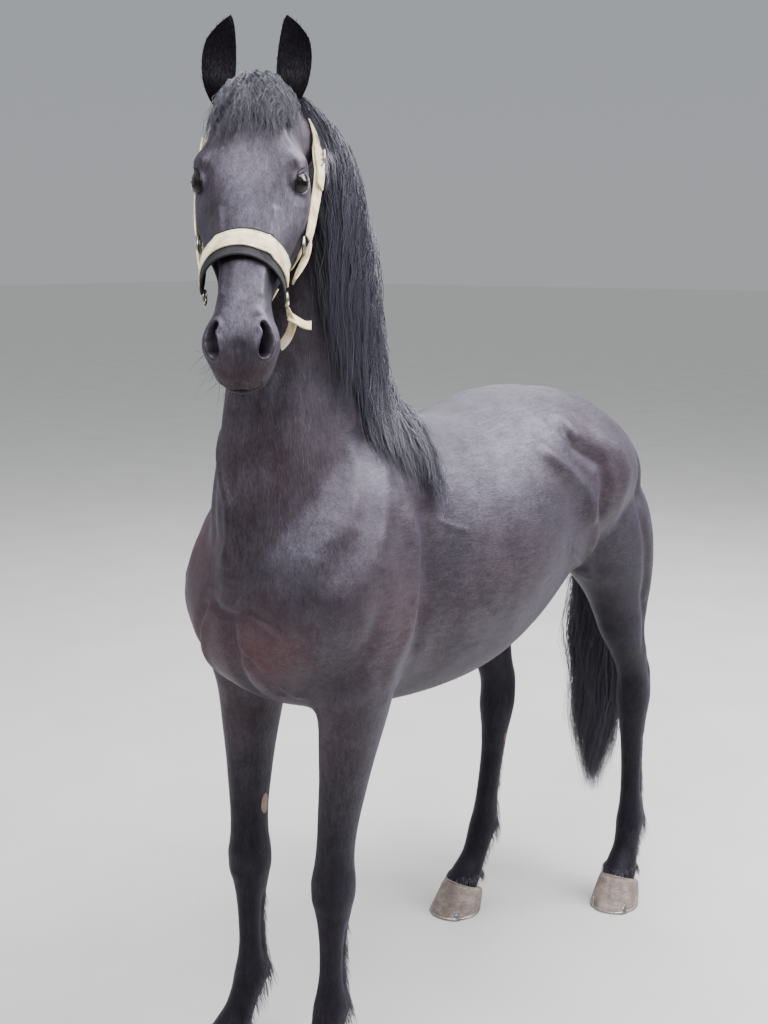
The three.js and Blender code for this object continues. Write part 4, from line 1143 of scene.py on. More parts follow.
@dataclass
class Eyes:
    """Both eyes and the rims of their lids."""

    shift: Array
    segments: int = 64
    pupil_long: float = 8.0  # half length of the level pupil, in mm
    pupil_high: float = 3.4
    iris: float = 14.5  # radius of the iris, in mm

    def build(self) -> list[Piece]:
        """Makes the eyeballs and lid rims.

        Returns:
            The objects; each ball replaces its solid.
        """
        made = []
        for way, name in ((1, "left"), (-1, "right")):
            eye = Eye(way, self.shift)
            ball = self.ball(eye, name)
            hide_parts("eye_" + name)
            made += [ball, self.rims(eye, name)]
        return made

    def ball(self, eye: Eye, name: str) -> Piece:
        """An eyeball whose points know how far they lie from the middle of the pupil.

        Args:
            eye: The eye.
            name: The side's name.

        Returns:
            The object.
        """
        lat = np.linspace(0, np.pi, self.segments // 2 + 1)[:-1]
        rings = []
        radius = eye.radius
        for a in lat[1:]:
            turn = circle(self.segments)
            cornea = 1.2 * np.exp(-((a * radius) / 11) ** 4)
            r = radius + cornea
            rings.append(np.stack([r * np.sin(a) * np.cos(turn), r * np.sin(a) * np.sin(turn),
                                   np.full(self.segments, r * np.cos(a))], -1))
        axes = eye.frame()
        rings = eye.middle() + np.array(rings) @ axes.T
        piece = lofted("eyeball_" + name, rings, self.shift, "eye")
        points = (mesh_points(piece.data) - self.shift) / MM
        local = (points - eye.middle()) @ axes
        pupil = np.hypot(local[:, 0] / self.pupil_long, local[:, 1] / self.pupil_high)
        iris = np.hypot(local[:, 0], local[:, 1]) / self.iris
        front = (local[:, 2] > 0).astype(float)
        tone = np.stack([np.clip(1.6 - pupil, 0, 1) * front, np.clip(iris, 0, 2) / 2, front,
                         np.ones(len(points))], -1)
        set_tone(piece.data, "eye_tone", tone)
        return piece

    def rims(self, eye: Eye, name: str) -> Piece:
        """The moist edges of both lids, swept along the opening over the ball.

        Args:
            eye: The eye.
            name: The side's name.

        Returns:
            The object.
        """
        turn = np.linspace(0, 2 * np.pi, 73)[:-1]
        path = eye.edge(turn, 1.2)
        ahead = unit(np.roll(path, -1, 0) - np.roll(path, 1, 0))
        normal = unit(path)
        side = unit(np.cross(ahead, normal))
        thick = 1.1 + 0.4 * np.sin(turn) ** 2
        around = circle(10)
        ring = (path[:, None] + side[:, None] * (thick[:, None] * np.cos(around))[..., None]
                + normal[:, None] * (1.5 * np.sin(around))[None, :, None])
        shell = Shell()
        shell.add_hoop(eye.middle() + ring @ eye.frame().T)
        piece = piece_of("lid_rims_" + name, shell, self.shift, "coat")
        # The lower rim gets a painted highlight of its wet edge.
        low = np.repeat(np.clip(-np.sin(turn), 0, 1), 10)
        set_tone(piece.data, "lid_rim_painted_shine", np.stack([low, low, low, np.ones_like(low)], -1))
        return piece


@dataclass
class Ears:
    """Both ears: upright cups that are open to the front, with a soft rim."""

    shift: Array
    sides: int = 56
    levels: int = 60
    rows: Table = ((-0.3, 0.3, 12, 0, -22), (-0.14, 0.66, 19, 0, -10), (0.06, 0.84, 22, 0.08, 0),
                   (0.28, 0.97, 20, 0.42, 3), (0.5, 0.97, 18, 0.85, 4), (0.7, 0.83, 15, 1, 2),
                   (0.87, 0.5, 9, 0.9, -5), (0.95, 0.26, 5, 0.5, -10), (1, 0.06, 2, 0, -13))

    def build(self) -> list[Piece]:
        """Makes both ears, each of which replaces its solid.

        Returns:
            The objects.
        """
        made = []
        for way, name in ((1, "left"), (-1, "right")):
            ear = lofted("ear_skin_" + name, self.rings(way), self.shift, "coat")
            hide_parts("ear_" + name)
            made.append(ear)
        return made

    def rings(self, way: int) -> Array:
        """Sections of one ear from inside the skull to the tip.

        Args:
            way: 1 for the left, -1 for the right.

        Returns:
            The sections.
        """
        number = np.linspace(0, len(self.rows) - 1, self.levels)
        share, half, depth, scoop, bend = rows_at(self.rows, number).T
        turn = circle(self.sides)
        arch = depth[:, None] * np.abs(np.sin(turn))[None]
        thin = np.minimum(6.0, 1.4 * arch)
        cup = arch + (-arch + thin - arch) * np.clip(scoop, 0, 1)[:, None]
        up = EAR_UP + 14 * share[:, None] + np.where(np.sin(turn)[None] < 0, -arch, cup)
        wide = EAR_HALF * half[:, None] * np.cos(turn)[None]
        out = way * (EAR_OUT + bend[:, None] + wide)
        along = (EAR_ALONG - share * EAR_LENGTH)[:, None] + 0 * wide
        return on_head(out, along, up)


@dataclass
class Hooves:
    """The four hooves: horn with growth rings and a worn lower edge."""

    shift: Array
    coronet: float = 86.0
    heel: float = 46.0
    rows: Table = ((1.06, -1, 51, 47, 50), (0.99, 0, 54, 50, 53), (0.93, -2, 57, 52, 55),
                   (0.5, -16, 67, 59, 61), (0.06, -30, 75, 65, 65.5), (0.012, -32, 76, 66, 66),
                   (0, -32, 74, 64, 64))

    def build(self) -> Piece:
        """Makes all four hooves.

        Returns:
            The object, which replaces the four solids.
        """
        shell = Shell()
        for leg in LEGS:
            shell.add_loft(self.rings(leg, 40, 96))
        hooves = piece_of("hooves", shell, self.shift, "hoof_horn")
        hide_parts(*("hoof_" + leg.name for leg in LEGS))
        return hooves

    def rings(self, leg: Leg, count: int, sides: int) -> Array:
        """Sections of one hoof, whose top edge slopes down to the heels.

        Args:
            leg: The leg.
            count: How many sections.
            sides: Points of a section.

        Returns:
            The sections.
        """
        number = np.linspace(0, len(self.rows) - 1, count)
        share, shift, toe, heel, half = rows_at(self.rows, number).T
        share = np.maximum(share, 0)
        _, x, y = rows_where(leg.axis, np.array([84.0])).T
        turn = circle(sides)
        c, s = np.cos(turn)[None], np.sin(turn)[None]
        pinch = np.where(s > 0, 0.9, 0.8)
        grow = 0.5 * np.sin(share * 46)[:, None] * (share < 0.9)[:, None]
        worn = 1.2 * np.sin(7 * turn + 1.3)[None] * np.exp(-share / 0.05)[:, None] * 0.6
        px = (half[:, None] + grow + worn) * np.sign(c) * np.abs(c) ** pinch
        long = np.where(s > 0, toe[:, None], heel[:, None]) + grow + worn
        py = shift[:, None] - long * s
        back = np.clip((py - shift[:, None] + toe[:, None]) / (toe + heel)[:, None], 0, 1)
        z = share[:, None] * (self.coronet + (self.heel - self.coronet) * back)
        a = math.radians(leg.toe_out)
        wx, wy = px * math.cos(a) - py * math.sin(a), px * math.sin(a) + py * math.cos(a)
        return np.stack([x + wx, y + wy, z], -1)


@dataclass
class Shoes:
    """The four steel shoes: a thin rim under each hoof wall, held by small drawn clips."""

    shift: Array
    high: float = 6.0
    proud: float = 1.024  # how much wider than the hoof's lower edge
    clip_half: float = 11.0
    clip_high: float = 24.0
    clip_thick: float = 2.0
    sides: int = 96

    def build(self) -> Piece:
        """Makes the four shoes as one object.

        Returns:
            The object.
        """
        shell = Shell()
        hooves = Hooves(self.shift)
        for leg in LEGS:
            wall = hooves.rings(leg, 120, self.sides)
            shell.add_loft(self.rim(wall[-1]))
            places = (12, 36) if leg.name.startswith("hind") else (24,)
            for place in places:
                shell.add_loft(self.clip(wall, place))
        return piece_of("horse_shoes", shell, self.shift, "steel")

    def rim(self, edge: Array) -> Array:
        """Sections of the plate under one hoof, from its top down.

        Args:
            edge: The lower edge of the hoof's wall.

        Returns:
            The sections.
        """
        middle = edge.mean(0)
        rings = []
        for z, wide in ((self.high, 0.99), (self.high - 0.8, 1.0), (0.8, 1.0), (0.0, 0.99)):
            ring = middle + (edge - middle) * self.proud * wide
            ring[:, 2] = z
            rings.append(ring)
        return np.array(rings)

    def clip(self, wall: Array, place: int) -> Array:
        """Sections of one clip, a thin tongue drawn up against the wall.

        Args:
            wall: Sections of the hoof.
            place: Number of the wall's point where the clip stands.

        Returns:
            The sections.
        """
        turn = circle(16)
        rings = []
        for share in np.linspace(1, 0, 9):
            z = 1.0 + share * (self.clip_high - 1.0)
            level = wall[np.abs(wall[:, place, 2] - z).argmin()]
            spot, ahead = level[place], unit(level[place + 1] - level[place - 1])
            out = unit(np.array([ahead[1], -ahead[0], 0.0]))
            out = out * np.sign(((spot - level.mean(0)) * out).sum())
            half = self.clip_half * (1.02 - share) ** 0.55
            ring = (spot + out * 0.6 + ahead * (half * np.cos(turn))[:, None]
                    + out * (self.clip_thick * np.sin(turn))[:, None])
            ring[:, 2] = z
            rings.append(ring)
        return np.array(rings)


@dataclass
class Atlas:
    """An unwrap of the skin's own shape: each part of the body is unrolled round its axis."""

    parts: list[tuple[Array, Array]] = field(default_factory=list)  # middles and radii, in mm

    def __post_init__(self) -> None:
        """Reads the axes of the parts from their tables."""
        for rings in [torso_rings(12, 12), neck_rings(10, 12), head_rings(10, 12)] + [
                leg_rings(leg, 14, 12) for leg in LEGS]:
            middle = rings.mean(1)
            self.parts.append((middle, np.linalg.norm(rings - middle[:, None], axis=-1).mean(1)))
        tail = np.asarray(TAIL, float)
        self.parts.append((tail[:, [1, 2, 0]], tail[:, 3] + 20))

    def place(self, points: Array) -> Array:
        """Where places on the body lie in the unwrap.

        Args:
            points: Places in mm of the horse's frame.

        Returns:
            Two numbers from 0 to 1 for each place.
        """
        best = np.full(len(points), 1e9)
        found = np.zeros((len(points), 2))
        for number, (middle, radius) in enumerate(self.parts):
            far = np.linalg.norm(points[:, None] - middle[None], axis=-1)
            near = far.argmin(1)
            share = far[np.arange(len(points)), near] / radius[near]
            axis = unit(middle[-1] - middle[0])
            across = unit(np.cross(axis, [0.3, 1.0, 0.2]))
            other = np.cross(axis, across)
            off = points - middle[near]
            turn = (np.arctan2(off @ other, off @ across) / (2 * np.pi)) % 1
            run = (points - middle[0]) @ axis / np.linalg.norm(middle[-1] - middle[0])
            cell = np.array([number % 4, number // 4]) / np.array([4, 2])
            spot = np.stack([turn * 0.235, np.clip(run, 0, 1) * 0.47], -1) + cell + 0.006
            closer = share < best
            found[closer] = spot[closer]
            best = np.minimum(best, share)
        return found


def strand_points(paths: Array, half: Array, out: Array, flat: float) -> tuple[Array, Array]:
    """Makes thin, three-sided, tapered strands along many paths at once.

    Args:
        paths: Strands, stations and places.
        half: Half width at each station of each strand; the last is a point.
        out: A direction away from the body for each strand.
        flat: How thick a strand is for its width.

    Returns:
        Points and faces; a face whose last corner is given twice is a triangle.
    """
    count, stations = paths.shape[:2]
    ahead = unit(np.gradient(paths, axis=1))
    side = unit(np.cross(ahead, out[:, None]))
    top = np.cross(side, ahead)
    turn = circle(3) + np.pi / 2
    ring = (paths[:, :, None] + side[:, :, None] * (half[..., None] * np.cos(turn))[..., None]
            + top[:, :, None] * (flat * half[..., None] * np.sin(turn))[..., None])
    body = ring[:, :-1].reshape(count, -1, 3)
    points = np.concatenate([body, paths[:, -1:]], 1)
    size = points.shape[1]
    i = (np.arange(stations - 2) * 3)[:, None]
    k = np.arange(3)[None]
    m = (k + 1) % 3
    quads = np.stack(np.broadcast_arrays(i + k, i + 3 + k, i + 3 + m, i + m), -1).reshape(-1, 4)
    last = (stations - 2) * 3
    tip = np.array([[last + (a + 1) % 3, last + a, size - 1, size - 1] for a in range(3)])
    cap = np.array([[0, 1, 2, 2]])
    one = np.concatenate([quads, tip, cap])
    faces = (one[None] + (np.arange(count) * size)[:, None, None]).reshape(-1, 4)
    return points.reshape(-1, 3), faces


@dataclass
class Hair:
    """Many strands that become one or more pieces, each below the limit of triangles."""

    name: str
    shift: Array
    atlas: Atlas
    slot: str = "long_hair"
    limit: int = 190000
    flat: float = 0.75  # thickness of a strand for its width
    blend: bool = False  # lets the strands take light as the skin under them does

    def build(self, paths: Array, half: Array, out: Array, tone: Array) -> list[Piece]:
        """Makes the pieces.

        Args:
            paths: Strands, stations and places, in mm.
            half: Half widths.
            out: A direction away from the body for each strand.
            tone: A number from 0 to 1 for each strand, for its colour; on the mane and tail it holds
                painted shade too.

        Returns:
            The objects.
        """
        stations = paths.shape[1]
        each = max(1, self.limit // ((stations - 2) * 6 + 4))
        made = []
        for number, start in enumerate(range(0, len(paths), each)):
            part = slice(start, start + each)
            points, faces = strand_points(paths[part], half[part], out[part], self.flat)
            piece = make_piece(f"{self.name}_{number + 1}", points, faces, self.shift, self.slot)
            size = (stations - 1) * 3 + 1
            roots = self.atlas.place(paths[part, 1])
            run = np.append(np.repeat(np.linspace(0, 1, stations)[:-1], 3), 1.0)
            across = np.append(np.tile([0.0, 0.5, 1.0], stations - 1), 0.5)
            spot = roots[:, None] + 0.003 * np.stack([across, run], -1)[None]
            self.keep_map(piece.data, spot.reshape(-1, 2))
            shade = np.repeat(tone[part], size)
            along = np.tile(run, len(roots))
            set_tone(piece.data, "hair_tone_and_shade", np.stack(
                [shade, along, 0 * along, np.ones_like(along)], -1))
            if self.blend:
                piece.data.normals_split_custom_set_from_vertices(np.repeat(out[part], size, 0))
            made.append(piece)
        return made

    def keep_map(self, mesh: bpy.types.Mesh, spot: Array) -> None:
        """Keeps the places of the strands in the unwrap as the map for baking.

        Args:
            mesh: The mesh.
            spot: Place in the unwrap of each point.
        """
        layer = mesh.uv_layers.new(name="OFBake")
        corner = np.empty(len(mesh.loops), np.int32)
        mesh.loops.foreach_get("vertex_index", corner)
        layer.data.foreach_set("uv", spot[corner].astype(np.float32).ravel())


@dataclass
class Ground:
    """The finished skin, for laying hair and straps on it."""

    tree: BVHTree
    points: Array
    normals: Array
    faces: Array

    @classmethod
    def of(cls, pieces: Sequence[Piece], shift: Array) -> "Ground":
        """Reads the surfaces of pieces, in mm of the horse's frame.

        Args:
            pieces: The objects.
            shift: Place of the horse's frame in the scene.

        Returns:
            The ground.
        """
        points, normals, faces, count = [], [], [], 0
        for piece in pieces:
            mesh = piece.data
            points.append((mesh_points(mesh) - shift) / MM)
            normals.append(mesh_normals(mesh))
            mesh.calc_loop_triangles()
            part = np.empty(len(mesh.loop_triangles) * 3, np.int32)
            mesh.loop_triangles.foreach_get("vertices", part)
            faces.append(part.reshape(-1, 3) + count)
            count += len(points[-1])
        points, normals, faces = (np.concatenate(v) for v in (points, normals, faces))
        tree = BVHTree.FromPolygons(points.tolist(), faces.tolist())
        return cls(tree, points, normals, faces)

    def nearest(self, points: Array) -> tuple[Array, Array]:
        """The nearest place on the skin for each point, and the way out of it there.

        Args:
            points: Places in mm of the horse's frame.

        Returns:
            The places and the ways out.
        """
        found = [self.tree.find_nearest(Vector(p)) for p in points.reshape(-1, 3)]
        spots = np.array([tuple(f[0]) for f in found]).reshape(points.shape)
        ways = np.array([tuple(f[1]) for f in found]).reshape(points.shape)
        return spots, ways

    def keep_out(self, paths: Array, room: Array, reach: float = 60.0) -> Array:
        """Lifts places that lie in the body, or too near to it, out to a distance from it.

        Args:
            paths: Places.
            room: The distance from the skin that each place keeps.
            reach: How deep a place may lie before it is left alone.

        Returns:
            The places, moved where needed.
        """
        spots, ways = self.nearest(paths)
        height = ((paths - spots) * ways).sum(-1)
        lift = np.clip(room - height, 0, reach)
        return paths + ways * lift[..., None]

    def scatter(self, count: int, rng: Random, weight: Callable[[Array], Array]
                ) -> tuple[Array, Array]:
        """Random places on the skin.

        Args:
            count: How many.
            rng: The source of the random numbers.
            weight: How dense the places lie at given points.

        Returns:
            The places and the ways out of the skin there.
        """
        a, b, c = (self.points[self.faces[:, k]] for k in range(3))
        size = np.linalg.norm(np.cross(b - a, c - a), axis=1)
        chance = size * weight((a + b + c) / 3)
        pick = rng.choice(len(size), count, p=chance / chance.sum())
        r1, r2 = np.sqrt(rng.random(count)), rng.random(count)
        w = np.stack([1 - r1, r1 * (1 - r2), r1 * r2], -1)
        spots = sum(self.points[self.faces[pick, k]] * w[:, k:k + 1] for k in range(3))
        ways = sum(self.normals[self.faces[pick, k]] * w[:, k:k + 1] for k in range(3))
        return spots, unit(ways)


@dataclass
class Mane:
    """The mane: thick, crinkled hair that falls from the crest down the left side of the neck."""

    ground: Ground
    shift: Array
    atlas: Atlas
    locks: int = 84
    strands: int = 42  # in each lock
    stations: int = 20
    half: float = 0.85  # half width of a strand at its root
    spread: float = 23.0  # half width of a lock
    roots: tuple[float, float] = (0.9, 8.75)  # places on the crest, as rows of the neck's table

    def build(self, rng: Random) -> list[Piece]:
        """Makes the mane.

        Args:
            rng: The source of the random numbers.

        Returns:
            The objects.
        """
        n = self.locks
        share = (np.arange(n) + rng.uniform(0.1, 0.9, n)) / n
        place = self.roots[0] + (self.roots[1] - self.roots[0]) * share
        rows = rows_at(NECK, place)
        crest, up = rows[:, :3], unit(rows[:, :3] - rows[:, 3:6])
        hang = 82 - 252 * share + rng.uniform(-16, 16, n)
        long = 430 + 170 * share + rng.uniform(-60, 40, n)
        floor = 1292 + 150 * share + rng.uniform(-40, 90, n)
        end = np.maximum(crest[:, 2] - long, floor)
        phase = rng.uniform(0, FULL_TURN, n)
        layer = rng.uniform(0, 1, n)
        s = np.linspace(0, 1, self.stations - 2)[None]
        down = (crest[:, 2:3] - 12) + (end[:, None] - crest[:, 2:3] + 12) * s**0.95
        y = hang[:, None] + (crest[:, 1:2] - hang[:, None]) * np.exp(-4 * s)
        y = y + 7 * np.sin(8 * s + phase[:, None])
        lift = (8 + 26 * layer[:, None]) * (1 - 0.4 * s**2) + 6 * np.sin(5 * s + phase[:, None])
        x = self.left_side(y, down, crest) + np.maximum(lift, 5)
        fall = np.stack([x, y, down], -1)
        start = crest - up * 8
        over = crest + up * (10 + 16 * layer[:, None]) + np.array([6.0, 0, 0])
        guides = np.concatenate([start[:, None], over[:, None], fall], 1)
        guides = eased(guides.swapaxes(0, 1), 3).swapaxes(0, 1)
        return self.strew(guides, rng, layer)

    def left_side(self, y: Array, z: Array, crest: Array) -> Array:
        """How far out the left side of the neck or shoulder lies at given places.

        Args:
            y: Places along the body.
            z: Heights.
            crest: The crest above each path.

        Returns:
            The distances from the middle.
        """
        out = np.empty(y.shape)
        for i in range(y.shape[0]):
            near = crest[i, 0] + 6
            for j in range(y.shape[1]):
                hit = self.ground.tree.ray_cast(Vector((500, y[i, j], z[i, j])), Vector((-1, 0, 0)))
                found = hit[0].x if hit[0] is not None and hit[0].x > -40 else near
                out[i, j] = near = max(found, near - 14)
        return out

    def strew(self, guides: Array, rng: Random, layer: Array
              ) -> list[Piece]:
        """Spreads strands round each path and makes the pieces.

        Args:
            guides: The middle of each lock.
            rng: The source of the random numbers.
            layer: How far out each lock lies, from 0 to 1.

        Returns:
            The objects.
        """
        n, m, stations = self.locks, self.strands, self.stations
        paths = np.repeat(guides, m, 0)
        s = np.linspace(0, 1, stations)[None]
        count = n * m
        ahead = unit(np.gradient(paths, axis=1))
        out = np.tile([1.0, 0, 0], (count, 1))
        side = unit(np.cross(ahead, out[:, None]))
        outward = np.cross(side, ahead)
        wisps = np.repeat(rng.normal(0, 0.5, (n * m // 6, 2)), 6, 0)
        along, thick = wisps[:, 0] + rng.normal(0, 0.07, count), 0.7 * wisps[:, 1]
        thick = thick + rng.normal(0, 0.07, count)
        width = self.spread * (0.55 + 0.75 * np.sin(np.pi * np.clip(s * 0.8 + 0.1, 0, 1))) * (
            1 - 0.3 * s**3)
        cut = rng.uniform(0.6, 1.0, count)[:, None]
        paths = self.shortened(paths, cut)
        phase = rng.uniform(0, FULL_TURN, (count, 1))
        lock = np.repeat(rng.uniform(0, FULL_TURN, (n, 1)), m, 0)
        turns = np.repeat(rng.uniform(3.8, 5.6, (n, 1)), m, 0) * rng.uniform(0.9, 1.1, (count, 1))
        wave = 4.6 * np.sin(2 * np.pi * turns * s + lock + 0.5 * phase) * np.clip(s * 3, 0, 1)
        fine = rng.normal(0, 1.5, (count, stations)) * np.clip(s * 2, 0, 1)
        fine = fine + np.repeat(rng.normal(0, 1.9, (n, stations)), m, 0) * np.clip(s * 3, 0, 1)
        stray = np.where(rng.random((count, 1)) < 0.1, rng.normal(0, 24, (count, 1)), 0) * s**1.5
        paths = paths + side * (along[:, None] * width + wave + stray)[..., None]
        paths = paths + side * fine[..., None] + outward * (
            thick[:, None] * width * 0.5 + 0.6 * fine[:, ::-1] + 0.4 * stray)[..., None]
        paths[:, 2:] = self.ground.keep_out(paths[:, 2:], np.full((count, stations - 2), 2.5))
        paths[:, 2:] = self.behind_strap(paths[:, 2:])
        half = self.half * (1 - 0.75 * s**2) * rng.uniform(0.7, 1.25, (count, 1))
        # Painted shade: inner locks are darker and outer locks lighter, under a random tone.
        tone = np.clip(np.repeat(layer, m) * 0.6 + rng.uniform(0, 0.4, count), 0, 1)
        hair = Hair("mane", self.shift, self.atlas)
        return hair.build(paths, half, out, tone)

    def behind_strap(self, paths: Array) -> Array:
        """Keeps the hair beside the head behind the cheek strap.

        Args:
            paths: The paths of the strands.

        Returns:
            The moved paths.
        """
        local = head_local(paths.reshape(-1, 3))
        limit = np.interp(local[:, 1], [-70, -10, 60, 300, 420], [30, -30, -110, -120, 60])
        over = np.maximum(local[:, 2] - limit, 0) * (local[:, 0] > 30) * (local[:, 0] < 190)
        moved = paths.reshape(-1, 3) - HEAD_AXES[:, 2] * over[:, None]
        return moved.reshape(paths.shape)

    def shortened(self, paths: Array, cut: Array) -> Array:
        """Ends each strand at its own share of its lock's length.

        Args:
            paths: The paths of the strands.
            cut: Each strand's share of its lock's length.

        Returns:
            The shorter paths.
        """
        count, stations = paths.shape[:2]
        at = np.linspace(0, 1, stations)[None] * cut * (stations - 1)
        i = np.minimum(np.floor(at).astype(int), stations - 2)
        f = (at - i)[..., None]
        rows = np.arange(count)[:, None]
        return paths[rows, i] * (1 - f) + paths[rows, i + 1] * f


@dataclass
class Forelock:
    """The forelock: short, fluffy, crinkled hair that fans from the poll over the forehead."""

    ground: Ground
    shift: Array
    atlas: Atlas
    locks: int = 140
    strands: int = 13
    stations: int = 20
    half: float = 0.7
    parting: float = -14.0  # where the hair parts, beside the face's middle, in mm

    def build(self, rng: Random) -> list[Piece]:
        """Makes the forelock.

        Args:
            rng: The source of the random numbers.

        Returns:
            The objects.
        """
        n, m = self.locks, self.strands
        count = n * m
        s = np.linspace(0, 1, self.stations)[None]
        lock_root = rng.uniform(-54, 62, n)
        fan = (lock_root - self.parting) / 55
        lock_start = rng.uniform(-72, 4, n)
        lock_reach = 156 - 42 * np.abs(fan) ** 1.6 + rng.normal(0, 16, n)
        lock_end = lock_root + np.where(fan > 0, 46, 26) * fan + rng.normal(0, 12, n)
        root, start, reach, end = (np.repeat(v, m) for v in (lock_root, lock_start, lock_reach, lock_end))
        root, start = root + rng.normal(0, 1.6, count), start + rng.normal(0, 3, count)
        reach = start + (reach - start) * rng.uniform(0.55, 1.0, count)
        end = end + rng.normal(0, 2.2, count)
        phase = np.repeat(rng.uniform(0, FULL_TURN, n), m)[:, None] + rng.normal(0, 0.15, (count, 1))
        turns = np.repeat(rng.uniform(2.2, 4.2, n), m)[:, None]
        curl = np.repeat(rng.uniform(1.5, 4.5, n), m)[:, None] * np.clip(s * 2.5, 0, 1)
        crimp = np.repeat(rng.normal(0, 1.5, (n, self.stations)), m, 0)
        out = root[:, None] + (end - root)[:, None] * s**1.1
        out = out + curl * np.sin(2 * np.pi * turns * s + phase) + crimp
        along = start[:, None] + (reach - start)[:, None] * s
        spots, ways = self.ground.nearest(on_head(out, along, 0 * out))
        high = np.repeat(rng.uniform(0, 1, n), m)[:, None] * 11 + rng.uniform(0, 2.5, (count, 1))
        stray = np.where(rng.random((count, 1)) < 0.08, rng.uniform(4, 12, (count, 1)), 0)
        lift = (6 + high) * np.clip(s * 4, 0, 1) * (1 - 0.45 * s) + stray * s + 0.5 * curl * np.sin(
            2 * np.pi * turns * s + phase + 1.5)
        lift[:, 0] = -5
        paths = spots + ways * lift[..., None]
        paths = paths + rng.normal(0, 0.7, paths.shape) * np.clip(s * 2, 0, 1)[..., None]
        half = self.half * (1 - 0.8 * s**2) * rng.uniform(0.7, 1.2, (count, 1))
        tone = np.repeat(rng.beta(0.7, 1.6, n), m) * 0.6 + rng.beta(0.8, 2.4, count) * 0.3
        return Hair("forelock", self.shift, self.atlas).build(
            paths, half, ways[:, 2], np.clip(tone, 0, 1))


@dataclass
class Tail:
    """The tail: long, wavy hair that hangs from the dock to below the hocks."""

    shift: Array
    atlas: Atlas
    locks: int = 60
    strands: int = 36
    stations: int = 20
    half: float = 0.95
    dock_size: Table = ((1080, 1130, 1392), (0.15, 0.5, 0.92))  # heights, share of the tail's width

    def build(self, rng: Random) -> list[Piece]:
        """Makes the tail, whose pieces replace its solid.

        Args:
            rng: The source of the random numbers.

        Returns:
            The objects.
        """
        n, m, stations = self.locks, self.strands, self.stations
        count = n * m
        turn = np.arange(n) * GOLDEN_ANGLE
        deep = np.sqrt((np.arange(n) + 0.5) / n)
        high = 1150 + 228 * rng.random(n) ** 0.7
        low = 204 + 160 * rng.random(n) ** 1.6 + 50 * (1 - deep)
        s = np.linspace(0, 1, stations)[None]
        high = np.repeat(high, m) + rng.normal(0, 12, count)
        low = np.maximum(np.repeat(low, m) + np.abs(rng.normal(0, 45, count)), 196)
        z = high[:, None] + (low - high)[:, None] * s
        rows = rows_where(TAIL, np.maximum(z, 268 + 30 * rng.random((count, 1))).ravel()).reshape(
            count, stations, 5)
        turn = np.repeat(turn, m)[:, None] + rng.normal(0, 0.16, (count, 1))
        deep = np.repeat(deep, m)[:, None] * rng.uniform(0.8, 1.12, (count, 1))
        phase = np.repeat(rng.uniform(0, FULL_TURN, n), m)[:, None] + rng.normal(0, 0.3, (count, 1))
        part = np.clip(s * 4, 0, 1)
        dock = 1.04 * np.interp(z, *self.dock_size)
        wide = deep * (0.35 + 0.6 * part)
        wide = np.where(deep > 0.5, np.maximum(wide, dock), wide)
        x = rows[..., 1] + np.cos(turn) * 1.12 * rows[..., 4] * wide
        y = rows[..., 2] + np.sin(turn) * rows[..., 3] * wide
        turns = 3.6 + 0.3 * np.sin(turn)
        wave = 7.0 * np.sin(2 * np.pi * turns * s + phase) * np.clip(s * 3, 0, 1)
        x = x + wave + rng.normal(0, 1.3, x.shape) + rng.normal(0, 9, (count, 1)) * s**2
        y = y + 0.7 * wave + rng.normal(0, 1.3, y.shape) + rng.normal(0, 9, (count, 1)) * s**2
        paths = np.stack([x, y, z], -1)
        out = np.stack([np.cos(turn[:, 0]), np.sin(turn[:, 0]), 0 * turn[:, 0]], -1)
        half = self.half * (1 - 0.75 * s**2) * rng.uniform(0.7, 1.2, (count, 1))
        # Painted shade: strands in the core of the tail are darker and outer ones lighter, under a random
        # tone.
        tone = np.clip(deep[:, 0] * 0.5 + rng.uniform(0, 0.4, count), 0, 1)
        made = Hair("tail_hair", self.shift, self.atlas).build(paths, half, out, tone)
        made.append(self.dock())
        for piece in made:
            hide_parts("tail")
        return made

    def dock(self) -> Piece:
        """The fleshy root of the tail, which the hair hides.

        Returns:
            The object.
        """
        z = np.linspace(1392, 1080, 40)
        rows = rows_where(TAIL, z)
        small = np.interp(z, *self.dock_size)
        side, ahead = np.tile([1.0, 0, 0], (40, 1)), np.tile([0, 1.0, 0], (40, 1))
        even = np.full(40, 0.95)
        rings = rings_of(np.stack([rows[:, 1], rows[:, 2], z], -1), side, ahead,
                         rows[:, 4] * small, rows[:, 3] * small, rows[:, 3] * small, even, even, 32)
        dock = lofted("dock", rings, self.shift, "long_hair")
        set_tone(dock.data, "hair_tone_and_shade", np.zeros((len(dock.data.vertices), 4)))
        return dock


